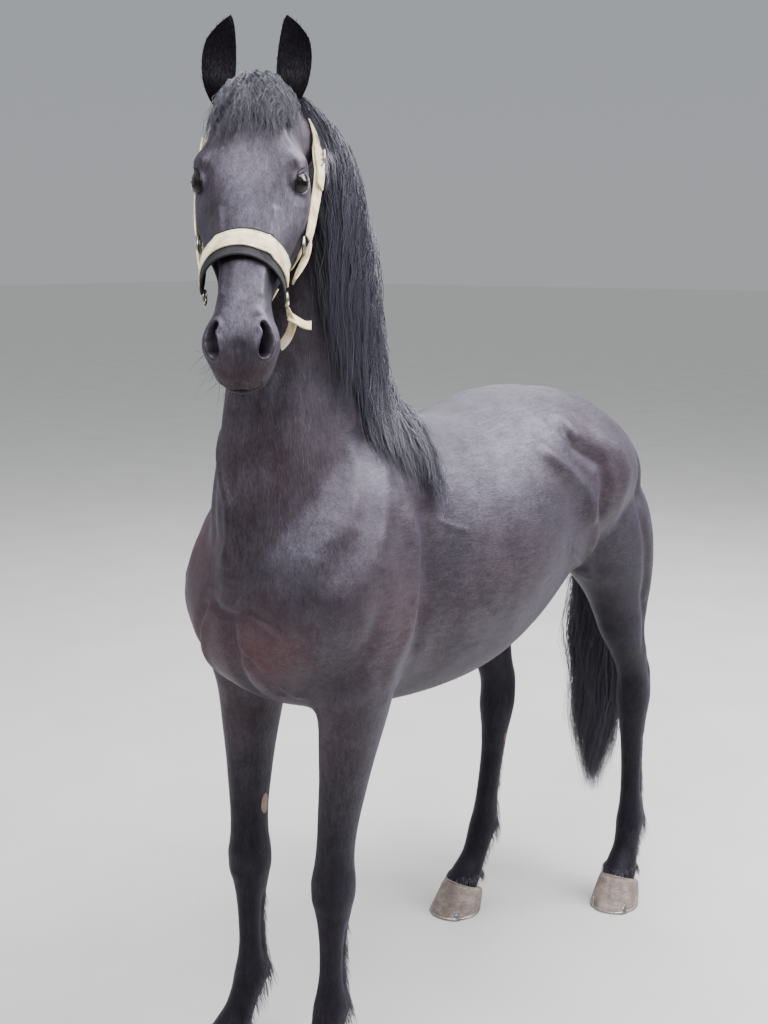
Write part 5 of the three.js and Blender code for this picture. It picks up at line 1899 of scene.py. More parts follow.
@dataclass
class Feather:
    """The feather: the longer hair behind each cannon and round each pastern."""

    ground: Ground
    shift: Array
    atlas: Atlas
    strands: int = 1000  # on each leg
    stations: int = 7
    half: float = 0.7

    def build(self, rng: Random) -> list[Piece]:
        """Makes the feather of all four legs.

        Args:
            rng: The source of the random numbers.

        Returns:
            The objects.
        """
        paths, outs = [], []
        for leg in LEGS:
            path, out = self.of_leg(leg, rng)
            paths.append(path)
            outs.append(out)
        paths, out = np.concatenate(paths), np.concatenate(outs)
        s = np.linspace(0, 1, self.stations)[None]
        half = self.half * (1 - 0.8 * s**2) * rng.uniform(0.7, 1.2, (len(paths), 1))
        tone = rng.uniform(0.1, 0.6, len(paths))
        return Hair("feather", self.shift, self.atlas).build(paths, half, out, tone)

    def of_leg(self, leg: Leg, rng: Random) -> tuple[Array, Array]:
        """Paths of the feather of one leg and the ways out of the leg there.

        Args:
            leg: The leg.
            rng: The source of the random numbers.

        Returns:
            The paths and the ways out.
        """
        n = self.strands
        hind = leg.name.startswith("hind")
        z = np.where(rng.random(n) < 0.42, rng.uniform(230, 470 if hind else 400, n),
                     rng.uniform(96, 250, n))
        z = np.where(rng.random(n) < 0.3, rng.uniform(91, 106, n), z)
        behind = rng.normal(0, np.interp(z, [106, 110, 250, 460], [2.6, 1.5, 0.75, 0.35]), n)
        turn = np.pi / 2 + behind
        _, fore, aft, _ = rows_where(leg.shape, z).T
        _, x, y = rows_where(leg.axis, z).T
        out = np.stack([np.cos(turn), np.sin(turn), 0 * turn], -1)
        root = np.stack([x, y, z], -1) + out * np.where(np.sin(turn) > 0, aft, fore)[:, None]
        spots, ways = self.ground.nearest(root)
        back = np.clip(np.sin(turn), 0, 1)
        long = np.interp(z, [90, 150, 240, 470], [22, 48, 66, 22]) * (0.45 + 0.55 * back) + 6 * (z < 107)
        long = long * rng.uniform(0.6, 1.15, n)
        stand = np.interp(z, [90, 240, 470], [0.3, 0.38, 0.16]) * (0.5 + 0.5 * back)
        stand = np.where(z < 107, np.interp(back, [0, 1], [0.95, 0.6]), stand)
        s = np.linspace(0, 1, self.stations)[None, :, None]
        ways = unit(ways * np.array([1, 1, 0.2]))
        off = ways[:, None] * (stand * long)[:, None, None] * (s * (1.15 - 0.55 * s))
        fall = np.array([0, 0, -1.0])[None, None] * long[:, None, None] * s**1.15
        bend = rng.normal(0, 0.10, (n, 1, 3)) * long[:, None, None] * s**1.5
        paths = spots[:, None] - ways[:, None] * 1.5 + off + fall + bend
        paths[..., 2] = np.maximum(paths[..., 2], 6)
        return paths, ways


@dataclass
class Fur:
    """Short hair that breaks the form: small tufts all over, shortest on the face and feet."""

    ground: Ground
    shift: Array
    atlas: Atlas
    tufts: int = 30000
    stations: int = 3

    def build(self, rng: Random) -> list[Piece]:
        """Makes the tufts.

        Args:
            rng: The source of the random numbers.

        Returns:
            The objects.
        """
        spots, ways = self.ground.scatter(self.tufts, rng, self.density)
        lie = lie_of_coat(spots, ways)
        facial = on_face(spots)
        low = spots[:, 2] < 480
        long = np.where(facial, 4.0, np.where(low, 6.0, 8.0)) * rng.uniform(0.7, 1.3, len(spots))
        stand = np.where(facial, 0.16, 0.2) * rng.uniform(0.6, 1.5, len(spots))
        lie = unit(lie + rng.normal(0, 0.12, lie.shape))
        s = np.linspace(0, 1, self.stations)[None, :, None]
        paths = spots[:, None] - ways[:, None] * 0.5 + lie[:, None] * long[:, None, None] * s
        paths = paths + ways[:, None] * (stand * long)[:, None, None] * s * (1.5 - 0.5 * s)
        half = np.where(facial, 0.3, 0.42)[:, None] * np.array([0.8, 1.0, 0.0])[None]
        tone = rng.uniform(0, 1, len(spots))
        return Hair("short_hair", self.shift, self.atlas, "coat", flat=0.15, blend=True).build(
            paths, half, ways, tone)

    def density(self, points: Array) -> Array:
        """More tufts on the face, and none below the hair line of the hooves.

        Args:
            points: Places in mm of the horse's frame.

        Returns:
            How dense the tufts stand.
        """
        eyes = np.ones(len(points))
        for way in (1, -1):
            far = np.linalg.norm(points - Eye(way, self.shift).middle(), axis=1)
            eyes *= far > 26
        return np.where(on_face(points), 2.2, 1.0) * eyes * (points[:, 2] > 92)


def leg_and_neck(points: Array) -> tuple[Array, Array]:
    """How far places belong to the legs and to the neck, from 0 to 1."""
    leg = np.clip((1060 - points[:, 2]) / 200, 0, 1)
    neck = np.clip((-points[:, 1] - 60) / 180, 0, 1) * np.clip((points[:, 2] - 1040) / 220, 0, 1)
    return leg, neck


def lie_of_coat(spots: Array, ways: Array) -> Array:
    """The direction in which the coat lies at places on the skin.

    Args:
        spots: Places in mm.
        ways: Directions out of the skin there.

    Returns:
        Directions along the skin.
    """
    local = head_local(spots)
    face = np.clip((local[:, 1] + 20) / 60, 0, 1) * on_face(spots)
    leg, neck = leg_and_neck(spots)
    back = np.tile([0.0, 1.0, -0.35], (len(spots), 1))
    down_neck = np.tile([0.0, 0.25, -1.0], (len(spots), 1))
    down = np.tile([0.0, 0.12, -1.0], (len(spots), 1))
    lie = back * (1 - neck)[:, None] + down_neck * neck[:, None]
    lie = lie * (1 - leg)[:, None] + down * leg[:, None]
    along = HEAD_AXES @ np.array([0, -1.0, -0.1])
    lie = lie * (1 - face)[:, None] + along * face[:, None]
    return unit(lie - ways * (lie * ways).sum(-1, keepdims=True))


@dataclass
class FaceHair:
    """Hair in and round the ears, whiskers on the lips and chin, and the upper lashes."""

    ground: Ground
    ears: Ground
    shift: Array
    atlas: Atlas

    def build(self, rng: Random) -> list[Piece]:
        """Makes the pieces."""
        return self.ear_hair(rng) + self.whiskers(rng) + self.lashes(rng)

    def ear_hair(self, rng: Random) -> list[Piece]:
        """Short hair on the backs of the ears and longer hair in their cups.

        Args:
            rng: The source of the random numbers.

        Returns:
            The objects.
        """
        spots, ways = self.ears.scatter(5000, rng, self.on_ears)
        local = head_local(spots)
        facing = ways @ HEAD_AXES[:, 2]
        inside = facing > 0.25
        long = np.where(inside, rng.uniform(5, 9, len(spots)), rng.uniform(3, 5, len(spots)))
        root = np.clip((30 - np.abs(local[:, 1] + 8)) / 30, 0, 1)
        long = long * (1 + 0.9 * root)
        tip = HEAD_AXES @ np.array([0.0, 1.0, 0.12])
        lie = unit(tip + rng.normal(0, 0.22, ways.shape) - ways * (tip @ ways.T)[:, None] * 0.8)
        stand = np.where(inside, 0.35, 0.12) * rng.uniform(0.5, 1.5, len(spots))
        s = np.linspace(0, 1, 5)[None, :, None]
        paths = spots[:, None] - ways[:, None] + (lie * long[:, None])[:, None] * s
        paths = paths + (ways * (stand * long)[:, None])[:, None] * s * (1.4 - 0.5 * s)
        ceiling = self.ears.points[:, 2].max()
        paths[..., 2] = np.minimum(paths[..., 2], ceiling + 2)
        half = 0.42 * (1 - 0.85 * np.linspace(0, 1, 5)[None] ** 2) * np.ones((len(spots), 1))
        tone = rng.uniform(0, 0.35, len(spots))
        return Hair("ear_hair", self.shift, self.atlas, flat=0.5).build(paths, half, ways, tone)

    def on_ears(self, points: Array) -> Array:
        """Hair grows on the part of the ears that stands out of the head."""
        return (head_local(points)[:, 1] < 14).astype(float)

    def whiskers(self, rng: Random) -> list[Piece]:
        """Long, thin, bent whiskers round the mouth.

        Args:
            rng: The source of the random numbers.

        Returns:
            The objects.
        """
        spots, ways = self.ground.scatter(150, rng, self.on_lips)
        down = np.array([0.0, 0.0, -1.0])
        s = np.linspace(0, 1, 8)[None, :, None]
        long = rng.uniform(16, 52, len(spots))[:, None, None]
        aim = unit(ways + 0.25 * down + rng.normal(0, 0.25, ways.shape))
        bend = rng.normal(0, 0.16, ways.shape) + 0.22 * down
        paths = spots[:, None] - ways[:, None] + aim[:, None] * long * s + bend[:, None] * long * s**2
        half = 0.26 * (1 - 0.8 * np.linspace(0, 1, 8)[None]) * np.ones((len(spots), 1))
        tone = rng.uniform(0.5, 1, len(spots))
        return Hair("whiskers", self.shift, self.atlas).build(paths, half, ways, tone)

    def on_lips(self, points: Array) -> Array:
        """Whiskers grow on the lips and chin.

        Args:
            points: Places in mm of the horse's frame.

        Returns:
            One on the lips and chin, zero elsewhere.
        """
        local = head_local(points)
        lips = (local[:, 1] > 500) & (local[:, 2] < -70) & (local[:, 2] > -150)
        chin = (local[:, 1] > 460) & (local[:, 2] < -105) & (local[:, 2] > -175)
        return ((lips | chin) & on_face(points)).astype(float)

    def lashes(self, rng: Random) -> list[Piece]:
        """The lashes of the upper lids, which point out and a little down.

        Args:
            rng: The source of the random numbers.

        Returns:
            The objects.
        """
        paths, outs = [], []
        for way in (1, -1):
            eye = Eye(way, self.shift)
            turn = rng.uniform(0.12 * np.pi, 0.9 * np.pi, 110)
            path = eye.edge(turn, 1.6)
            out = unit(path)
            s = np.linspace(0, 1, 6)[None, :, None]
            long = rng.uniform(8, 15, len(turn))[:, None, None]
            aim = unit(out + np.array([0, 0.35, 0.5]) + rng.normal(0, 0.12, out.shape))
            bend = np.array([0.0, -0.35, 0.1])
            run = path[:, None] + aim[:, None] * long * s + bend * long * s**2
            paths.append(eye.middle() + run @ eye.frame().T)
            outs.append(out @ eye.frame().T)
        paths, outs = np.concatenate(paths), np.concatenate(outs)
        half = 0.28 * (1 - 0.8 * np.linspace(0, 1, 6)[None]) * np.ones((len(paths), 1))
        tone = np.zeros(len(paths))
        return Hair("lashes", self.shift, self.atlas).build(paths, half, outs, tone)


@dataclass
class Chestnuts:
    """The chestnuts: small rough ovals of horn on the inside of the legs."""

    ground: Ground
    shift: Array
    fore_height: float = 622.0
    hind_height: float = 492.0
    size: tuple[float, float, float] = (6.5, 11.0, 27.0)

    def build(self) -> Piece:
        """Makes the chestnuts of all four legs.

        Returns:
            The object.
        """
        shell = Shell()
        for number, leg in enumerate(LEGS):
            hind = leg.name.startswith("hind")
            height = self.hind_height if hind else self.fore_height
            scale = 0.62 if hind else 1.0
            way = -1 if leg.name.endswith("left") else 1
            _, x, y = rows_where(leg.axis, np.array([height])).T
            half = rows_where(leg.shape, np.array([height]))[0, 3]
            spots, ways = self.ground.nearest(np.array([[x[0] + way * half, y[0] + 6, height]]))
            shell.add_loft(self.oval(spots[0], ways[0], number, scale))
        return piece_of("chestnuts", shell, self.shift, "hoof_horn")

    def oval(self, at: Array, out: Array, seed: int, scale: float) -> Array:
        """Sections of one chestnut, from its top to its foot.

        Args:
            at: The place on the skin.
            out: The way out of the skin there.
            seed: Changes the rough surface.
            scale: Size for that on the forelegs.

        Returns:
            The sections.
        """
        lat = np.linspace(0.12, np.pi - 0.12, 18)
        turn = circle(20)
        down = np.array([0.0, 0.0, -1.0])
        side = unit(np.cross(down, out))
        a, b, c = (v * scale for v in self.size)
        rough = 1 + 0.10 * np.sin(5 * turn + seed)[None] * np.sin(7 * lat)[:, None]
        rough = rough + 0.05 * np.sin(11 * turn)[None] * np.sin(13 * lat + seed)[:, None]
        flat = np.sin(lat)[:, None] * np.ones(20)[None] * rough
        return (at - out * 1.5 + (flat * np.cos(turn))[..., None] * out * a
                + (flat * np.sin(turn))[..., None] * side * b
                + np.cos(lat)[:, None, None] * -down * c)


def linear(code: str) -> tuple[float, float, float, float]:
    """Turns an sRGB hex colour into the linear one that the shader takes.

    Args:
        code: Six digits of the colour.

    Returns:
        Red, green, blue and one.
    """
    values = []
    for k in (0, 2, 4):
        part = int(code[k:k + 2], 16) / 255
        values.append(part / 12.92 if part <= 0.04045 else ((part + 0.055) / 1.055) ** 2.4)
    return (values[0], values[1], values[2], 1.0)


def add_node(
    material: Finish | bpy.types.World, kind: str,
    values: dict[str | int, object] | None = None, stops: Sequence[tuple[float, str]] = (),
    **links: bpy.types.NodeSocket,
) -> bpy.types.Node:
    """Adds a node to a material, with its settings, socket values and links.

    Args:
        material: The material.
        kind: The node's type.
        values: Settings of the node, whose names are in small letters, and values of its inputs.
        stops: Places and hex colours of a ramp.
        links: Sockets that feed its inputs, by name; a number is written as n0, n1.

    Returns:
        The node.
    """
    tree = material.node_tree
    node = tree.nodes.new("ShaderNode" + kind)
    for name, value in (values or {}).items():
        if str(name).islower():
            setattr(node, name, value)
        else:
            node.inputs[name].default_value = value
    if stops:
        ramp = node.color_ramp
        while len(ramp.elements) < len(stops):
            ramp.elements.new(0.5)
        for element, (place, code) in zip(ramp.elements, stops):
            element.position = place
            element.color = linear(code)
    for name, socket in links.items():
        key = int(name[1:]) if name[0] == "n" and name[1:].isdigit() else name.replace("_", " ")
        tree.links.new(socket, node.inputs[key])
    return node


def new_material(name: str) -> Finish:
    """A material with an empty tree and its output.

    Args:
        name: The material's name.

    Returns:
        The material.
    """
    material = bpy.data.materials.new(name)
    material.use_nodes = True
    material.node_tree.nodes.clear()
    return material


def finish_material(material: Finish, shader: bpy.types.Node) -> Finish:
    """Joins the shader to the output."""
    add_node(material, "OutputMaterial", Surface=shader.outputs[0])
    return material


@dataclass(frozen=True)
class Coat:
    """Short horse hair over dark skin: it gives a soft, broad gloss with fine streaks along its lie."""

    base: str = "130a0b"
    light: str = "23181a"
    brown: str = "3c1f19"
    rough: float = 0.54
    gloss: float = 0.9
    sheen: float = 0.08
    name: str = "short_horse_hair"
    streak: float = 1.3  # mm; a hair is about 0.05 mm wide, so streaks are drawn coarser to show
    clump: float = 4.5  # mm across the tufts in which the hairs lie together
    cloud: float = 62.5  # mm across a soft change of colour
    patch: float = 200.0  # mm across a browner place

    def make(self) -> Finish:
        """Makes the material of the skin and the short hair.

        Returns:
            The material.
        """
        material = new_material(self.name)
        place = add_node(material, "NewGeometry").outputs["Position"]
        zone = add_node(material, "Attribute", {"attribute_name": "coat_tone_and_shade"})
        parts = add_node(material, "SeparateColor", n0=zone.outputs["Color"])
        flow = add_node(
            material, "TexNoise", {"Scale": 1000 / self.cloud, "Detail": 6.0, "Roughness": 0.6},
            Vector=place).outputs["Fac"]
        speck = self.streaks(material, place, parts, self.streak)
        body = add_node(
            material, "ValToRGB", Fac=flow,
            stops=((0.3, self.base), (0.75, self.light))).outputs["Color"]
        patch = add_node(
            material, "TexNoise", {"Scale": 1000 / self.patch, "Detail": 4.0}, Vector=place)
        patches = add_node(
            material, "MapRange", {"From Min": 0.45, "From Max": 0.85, "To Max": 0.35},
            Value=patch.outputs["Fac"])
        brown = add_node(
            material, "Math", {"operation": "MAXIMUM"}, n0=parts.outputs["Red"], n1=patches.outputs[0])
        warm = add_node(
            material, "Mix", {"data_type": "RGBA", "B": linear(self.brown)}, Factor=brown.outputs[0],
            n6=body)
        grain = add_node(
            material, "ValToRGB", Fac=speck, stops=((0.3, "c4c4c4"), (0.7, "ffffff"))).outputs["Color"]
        grained = add_node(
            material, "Mix", {"data_type": "RGBA", "blend_type": "MULTIPLY", "Factor": 0.6},
            n6=warm.outputs[2], n7=grain)
        # Painted shade: the blue of the coat tone mixes the colour towards near black and lowers the
        # gloss there too.
        dark = add_node(
            material, "Mix", {"data_type": "RGBA", 7: linear("0d0b0d")}, n6=grained.outputs[2])
        material.node_tree.links.new(parts.outputs["Blue"], dark.inputs[0])
        calm = add_node(
            material, "MapRange", {"To Min": 0.5, "To Max": 0.35}, Value=zone.outputs["Alpha"])
        bump = add_node(material, "Bump", {"Distance": 0.0014}, Height=speck, Strength=calm.outputs[0])
        shine = add_node(
            material, "MapRange", {"To Min": self.gloss, "To Max": 0.3 * self.gloss},
            Value=parts.outputs["Blue"])
        glint = add_node(material, "Math", {"operation": "MULTIPLY"}, n0=shine.outputs[0], n1=grain)
        clump = add_node(
            material, "ValToRGB", Fac=self.streaks(material, place, parts, self.clump),
            stops=((0.35, "dadada"), (0.62, "ffffff"))).outputs["Color"]
        broad = add_node(
            material, "ValToRGB", Fac=flow, stops=((0.35, "dedede"), (0.62, "ffffff"))).outputs["Color"]
        for part in (clump, broad):
            glint = add_node(material, "Math", {"operation": "MULTIPLY"}, n0=glint.outputs[0], n1=part)
        shader = add_node(
            material, "BsdfPrincipled",
            {"Roughness": self.rough, "IOR": 1.55, "Sheen Weight": self.sheen,
             "Sheen Roughness": 0.5, "Sheen Tint": linear("a09ac0"),
             "Specular Tint": linear("ebe9ff")},
            Base_Color=dark.outputs[2], Normal=bump.outputs[0],
            Specular_IOR_Level=glint.outputs[0])
        return finish_material(material, shader)

    def streaks(self, material: Finish, place: bpy.types.NodeSocket,
                parts: bpy.types.Node, wide: float) -> bpy.types.NodeSocket:
        """Streaks of hair, a few times longer than wide, turned down on the legs and neck.

        Args:
            material: The material.
            place: The place on the surface.
            parts: The tones of the coat, apart.
            wide: Width of a streak, in mm.

        Returns:
            Their strength at each place.
        """
        out = []
        for stretch in ((1.0, 0.22, 1.0), (1.0, 1.0, 0.22)):
            long = add_node(material, "VectorMath", {"operation": "MULTIPLY", 1: stretch}, n0=place)
            noise = add_node(
                material, "TexNoise", {"Scale": 1000 / wide / 2, "Detail": 3.0, "Roughness": 0.6},
                Vector=long.outputs[0])
            out.append(noise.outputs["Fac"])
        mixed = add_node(
            material, "Mix", {"data_type": "FLOAT"}, Factor=parts.outputs["Green"], A=out[0], B=out[1])
        return mixed.outputs[0]


@dataclass(frozen=True)
class LongHair:
    """Coarse mane and tail hair: it gives thin bright lines over a deep black."""

    dark: str = "121116"
    middle: str = "2a2831"
    light: str = "3d3b48"
    rough: float = 0.4
    gloss: float = 0.6
    name: str = "coarse_horse_hair"
    grain: float = 2.5  # mm along a hair, drawn coarser than its scales so that it shows

    def make(self) -> Finish:
        """Makes the material of the strands.

        Returns:
            The material.
        """
        material = new_material(self.name)
        tone = add_node(material, "Attribute", {"attribute_name": "hair_tone_and_shade"})
        parts = add_node(material, "SeparateColor", n0=tone.outputs["Color"])
        # The tone mixes a random colour with painted shade inside the mane and tail.
        colour = add_node(
            material, "ValToRGB", Fac=parts.outputs["Red"],
            stops=((0.05, self.dark), (0.5, self.middle), (1.0, self.light))).outputs["Color"]
        place = add_node(material, "NewGeometry").outputs["Position"]
        noise = add_node(material, "TexNoise", {"Scale": 1000 / self.grain, "Detail": 2.0}, Vector=place)
        bump = add_node(
            material, "Bump", {"Strength": 0.2, "Distance": 0.0004}, Height=noise.outputs["Fac"])
        shader = add_node(
            material, "BsdfPrincipled",
            {"Roughness": self.rough, "IOR": 1.55, "Specular IOR Level": self.gloss,
             "Sheen Weight": 0.2 * self.gloss, "Sheen Tint": linear("9aa2c8")},
            Base_Color=colour, Normal=bump.outputs[0])
        return finish_material(material, shader)


@dataclass(frozen=True)
class Horn:
    """Dry, dusty hoof horn: it gives dull grey-brown with fine growth lines."""

    dark: str = "453a34"
    middle: str = "6e6158"
    light: str = "9c8f84"
    grain: float = 70.0  # to a metre: spots of about 14 mm
    stain: float = 22.0  # to a metre: patches of dust of about 45 mm

    def make(self) -> Finish:
        """Makes the material of the hooves.

        Returns:
            The material.
        """
        material = new_material("hoof_horn")
        place = add_node(material, "NewGeometry").outputs["Position"]
        thin = add_node(material, "VectorMath", {"operation": "MULTIPLY", 1: (1.0, 1.0, 3.0)}, n0=place)
        noise = add_node(
            material, "TexNoise", {"Scale": self.grain, "Detail": 8.0, "Roughness": 0.7},
            Vector=thin.outputs[0])
        patch = add_node(
            material, "TexNoise", {"Scale": self.stain, "Detail": 5.0, "Roughness": 0.6}, Vector=place)
        both = add_node(
            material, "Mix", {"data_type": "FLOAT", "Factor": 0.6}, A=noise.outputs["Fac"],
            B=patch.outputs["Fac"])
        colour = add_node(
            material, "ValToRGB", Fac=both.outputs[0],
            stops=((0.3, self.dark), (0.5, self.middle), (0.68, self.light))).outputs["Color"]
        bump = add_node(
            material, "Bump", {"Strength": 0.4, "Distance": 0.001}, Height=noise.outputs["Fac"])
        shader = add_node(
            material, "BsdfPrincipled", {"Roughness": 0.62, "IOR": 1.54}, Base_Color=colour,
            Normal=bump.outputs[0])
        return finish_material(material, shader)


@dataclass(frozen=True)
class EyeFinish:
    """A wet cornea over a dark brown iris: it gives sharp highlights and a deep, dark middle."""

    iris: tuple[tuple[float, str], ...] = (
        (0.0, "0c0706"), (0.35, "150c08"), (0.47, "070505"), (0.6, "0c0908"), (0.85, "1b1715"))

    def make(self) -> Finish:
        """Makes the material of the eyeballs.

        Returns:
            The material.
        """
        material = new_material("wet_eye")
        tone = add_node(material, "Attribute", {"attribute_name": "eye_tone"})
        parts = add_node(material, "SeparateColor", n0=tone.outputs["Color"])
        iris = add_node(
            material, "ValToRGB", Fac=parts.outputs["Green"], stops=self.iris).outputs["Color"]
        mix = add_node(
            material, "Mix", {"data_type": "RGBA", 7: linear("040305")}, Factor=parts.outputs["Red"],
            n6=iris)
        shader = add_node(
            material, "BsdfPrincipled", {"Roughness": 0.05, "IOR": 1.376}, Base_Color=mix.outputs[2])
        return finish_material(material, shader)


@dataclass(frozen=True)
class LidSkin:
    """Moist, bare lid skin: a dark line above the eye, and below it a thin pale line, a painted highlight
    of the wet lid.
    """

    dark: str = "171315"
    pale: str = "a39b9f"
    spot: float = 260.0  # to a metre: patches of painted wet shine of about 4 mm

    def make(self) -> Finish:
        """Makes the material of the lid rims.

        Returns:
            The material.
        """
        material = new_material("lid_skin_painted_wet_shine")
        tone = add_node(material, "Attribute", {"attribute_name": "lid_rim_painted_shine"})
        noise = add_node(
            material, "TexNoise", {"Scale": self.spot, "Detail": 3.0},
            Vector=add_node(material, "NewGeometry").outputs["Position"])
        patchy = add_node(
            material, "Math", {"operation": "MULTIPLY"}, n0=tone.outputs["Fac"],
            n1=noise.outputs["Fac"])
        colour = add_node(
            material, "ValToRGB", Fac=patchy.outputs[0],
            stops=((0.2, self.dark), (0.6, self.pale))).outputs["Color"]
        shader = add_node(material, "BsdfPrincipled", {"Roughness": 0.3, "IOR": 1.4}, Base_Color=colour)
        return finish_material(material, shader)


@dataclass(frozen=True)
class Weave:
    """Flat woven cotton-blend webbing: it gives a pale, dry surface with small ribs."""

    thread: float = 1.5  # mm between threads, drawn coarser than the real ones so that it shows
    dirt: float = 35.0  # to a metre: grubby patches of about 30 mm

    def make(self, name: str, dark: str, mid: str, light: str, rough: float) -> Finish:
        """Makes the material of a webbing.

        Args:
            name: Its name.
            dark: Colour of the darkest patches.
            mid: Main colour.
            light: Colour of the lightest patches.
            rough: Roughness.

        Returns:
            The material.
        """
        material = new_material(name)
        place = add_node(material, "TexCoord").outputs["Object"]
        ribs = add_node(material, "TexChecker", {"Scale": 1000 / self.thread / 2}, Vector=place)
        dirt = add_node(material, "TexNoise", {"Scale": self.dirt, "Detail": 6.0}, Vector=place)
        colour = add_node(
            material, "ValToRGB", Fac=dirt.outputs["Fac"],
            stops=((0.3, dark), (0.5, mid), (0.7, light))).outputs["Color"]
        bump = add_node(
            material, "Bump", {"Strength": 0.5, "Distance": 0.0006}, Height=ribs.outputs["Fac"])
        shader = add_node(
            material, "BsdfPrincipled", {"Roughness": rough, "IOR": 1.5}, Base_Color=colour,
            Normal=bump.outputs[0])
        return finish_material(material, shader)


@dataclass(frozen=True)
class Steel:
    """Worn nickel-plated steel: it gives soft metal highlights with small dull spots."""

    wear: float = 300.0  # to a metre: dull spots of about 3 mm

    def make(self) -> Finish:
        """Makes the material of the rings and the adjuster.

        Returns:
            The material.
        """
        material = new_material("nickel_plated_steel")
        place = add_node(material, "TexCoord").outputs["Object"]
        noise = add_node(material, "TexNoise", {"Scale": self.wear, "Detail": 4.0}, Vector=place)
        colour = add_node(
            material, "ValToRGB", Fac=noise.outputs["Fac"],
            stops=((0.3, "6f6e6a"), (0.7, "b5b3ac"))).outputs["Color"]
        shader = add_node(
            material, "BsdfPrincipled", {"Roughness": 0.3, "Metallic": 1.0}, Base_Color=colour)
        return finish_material(material, shader)


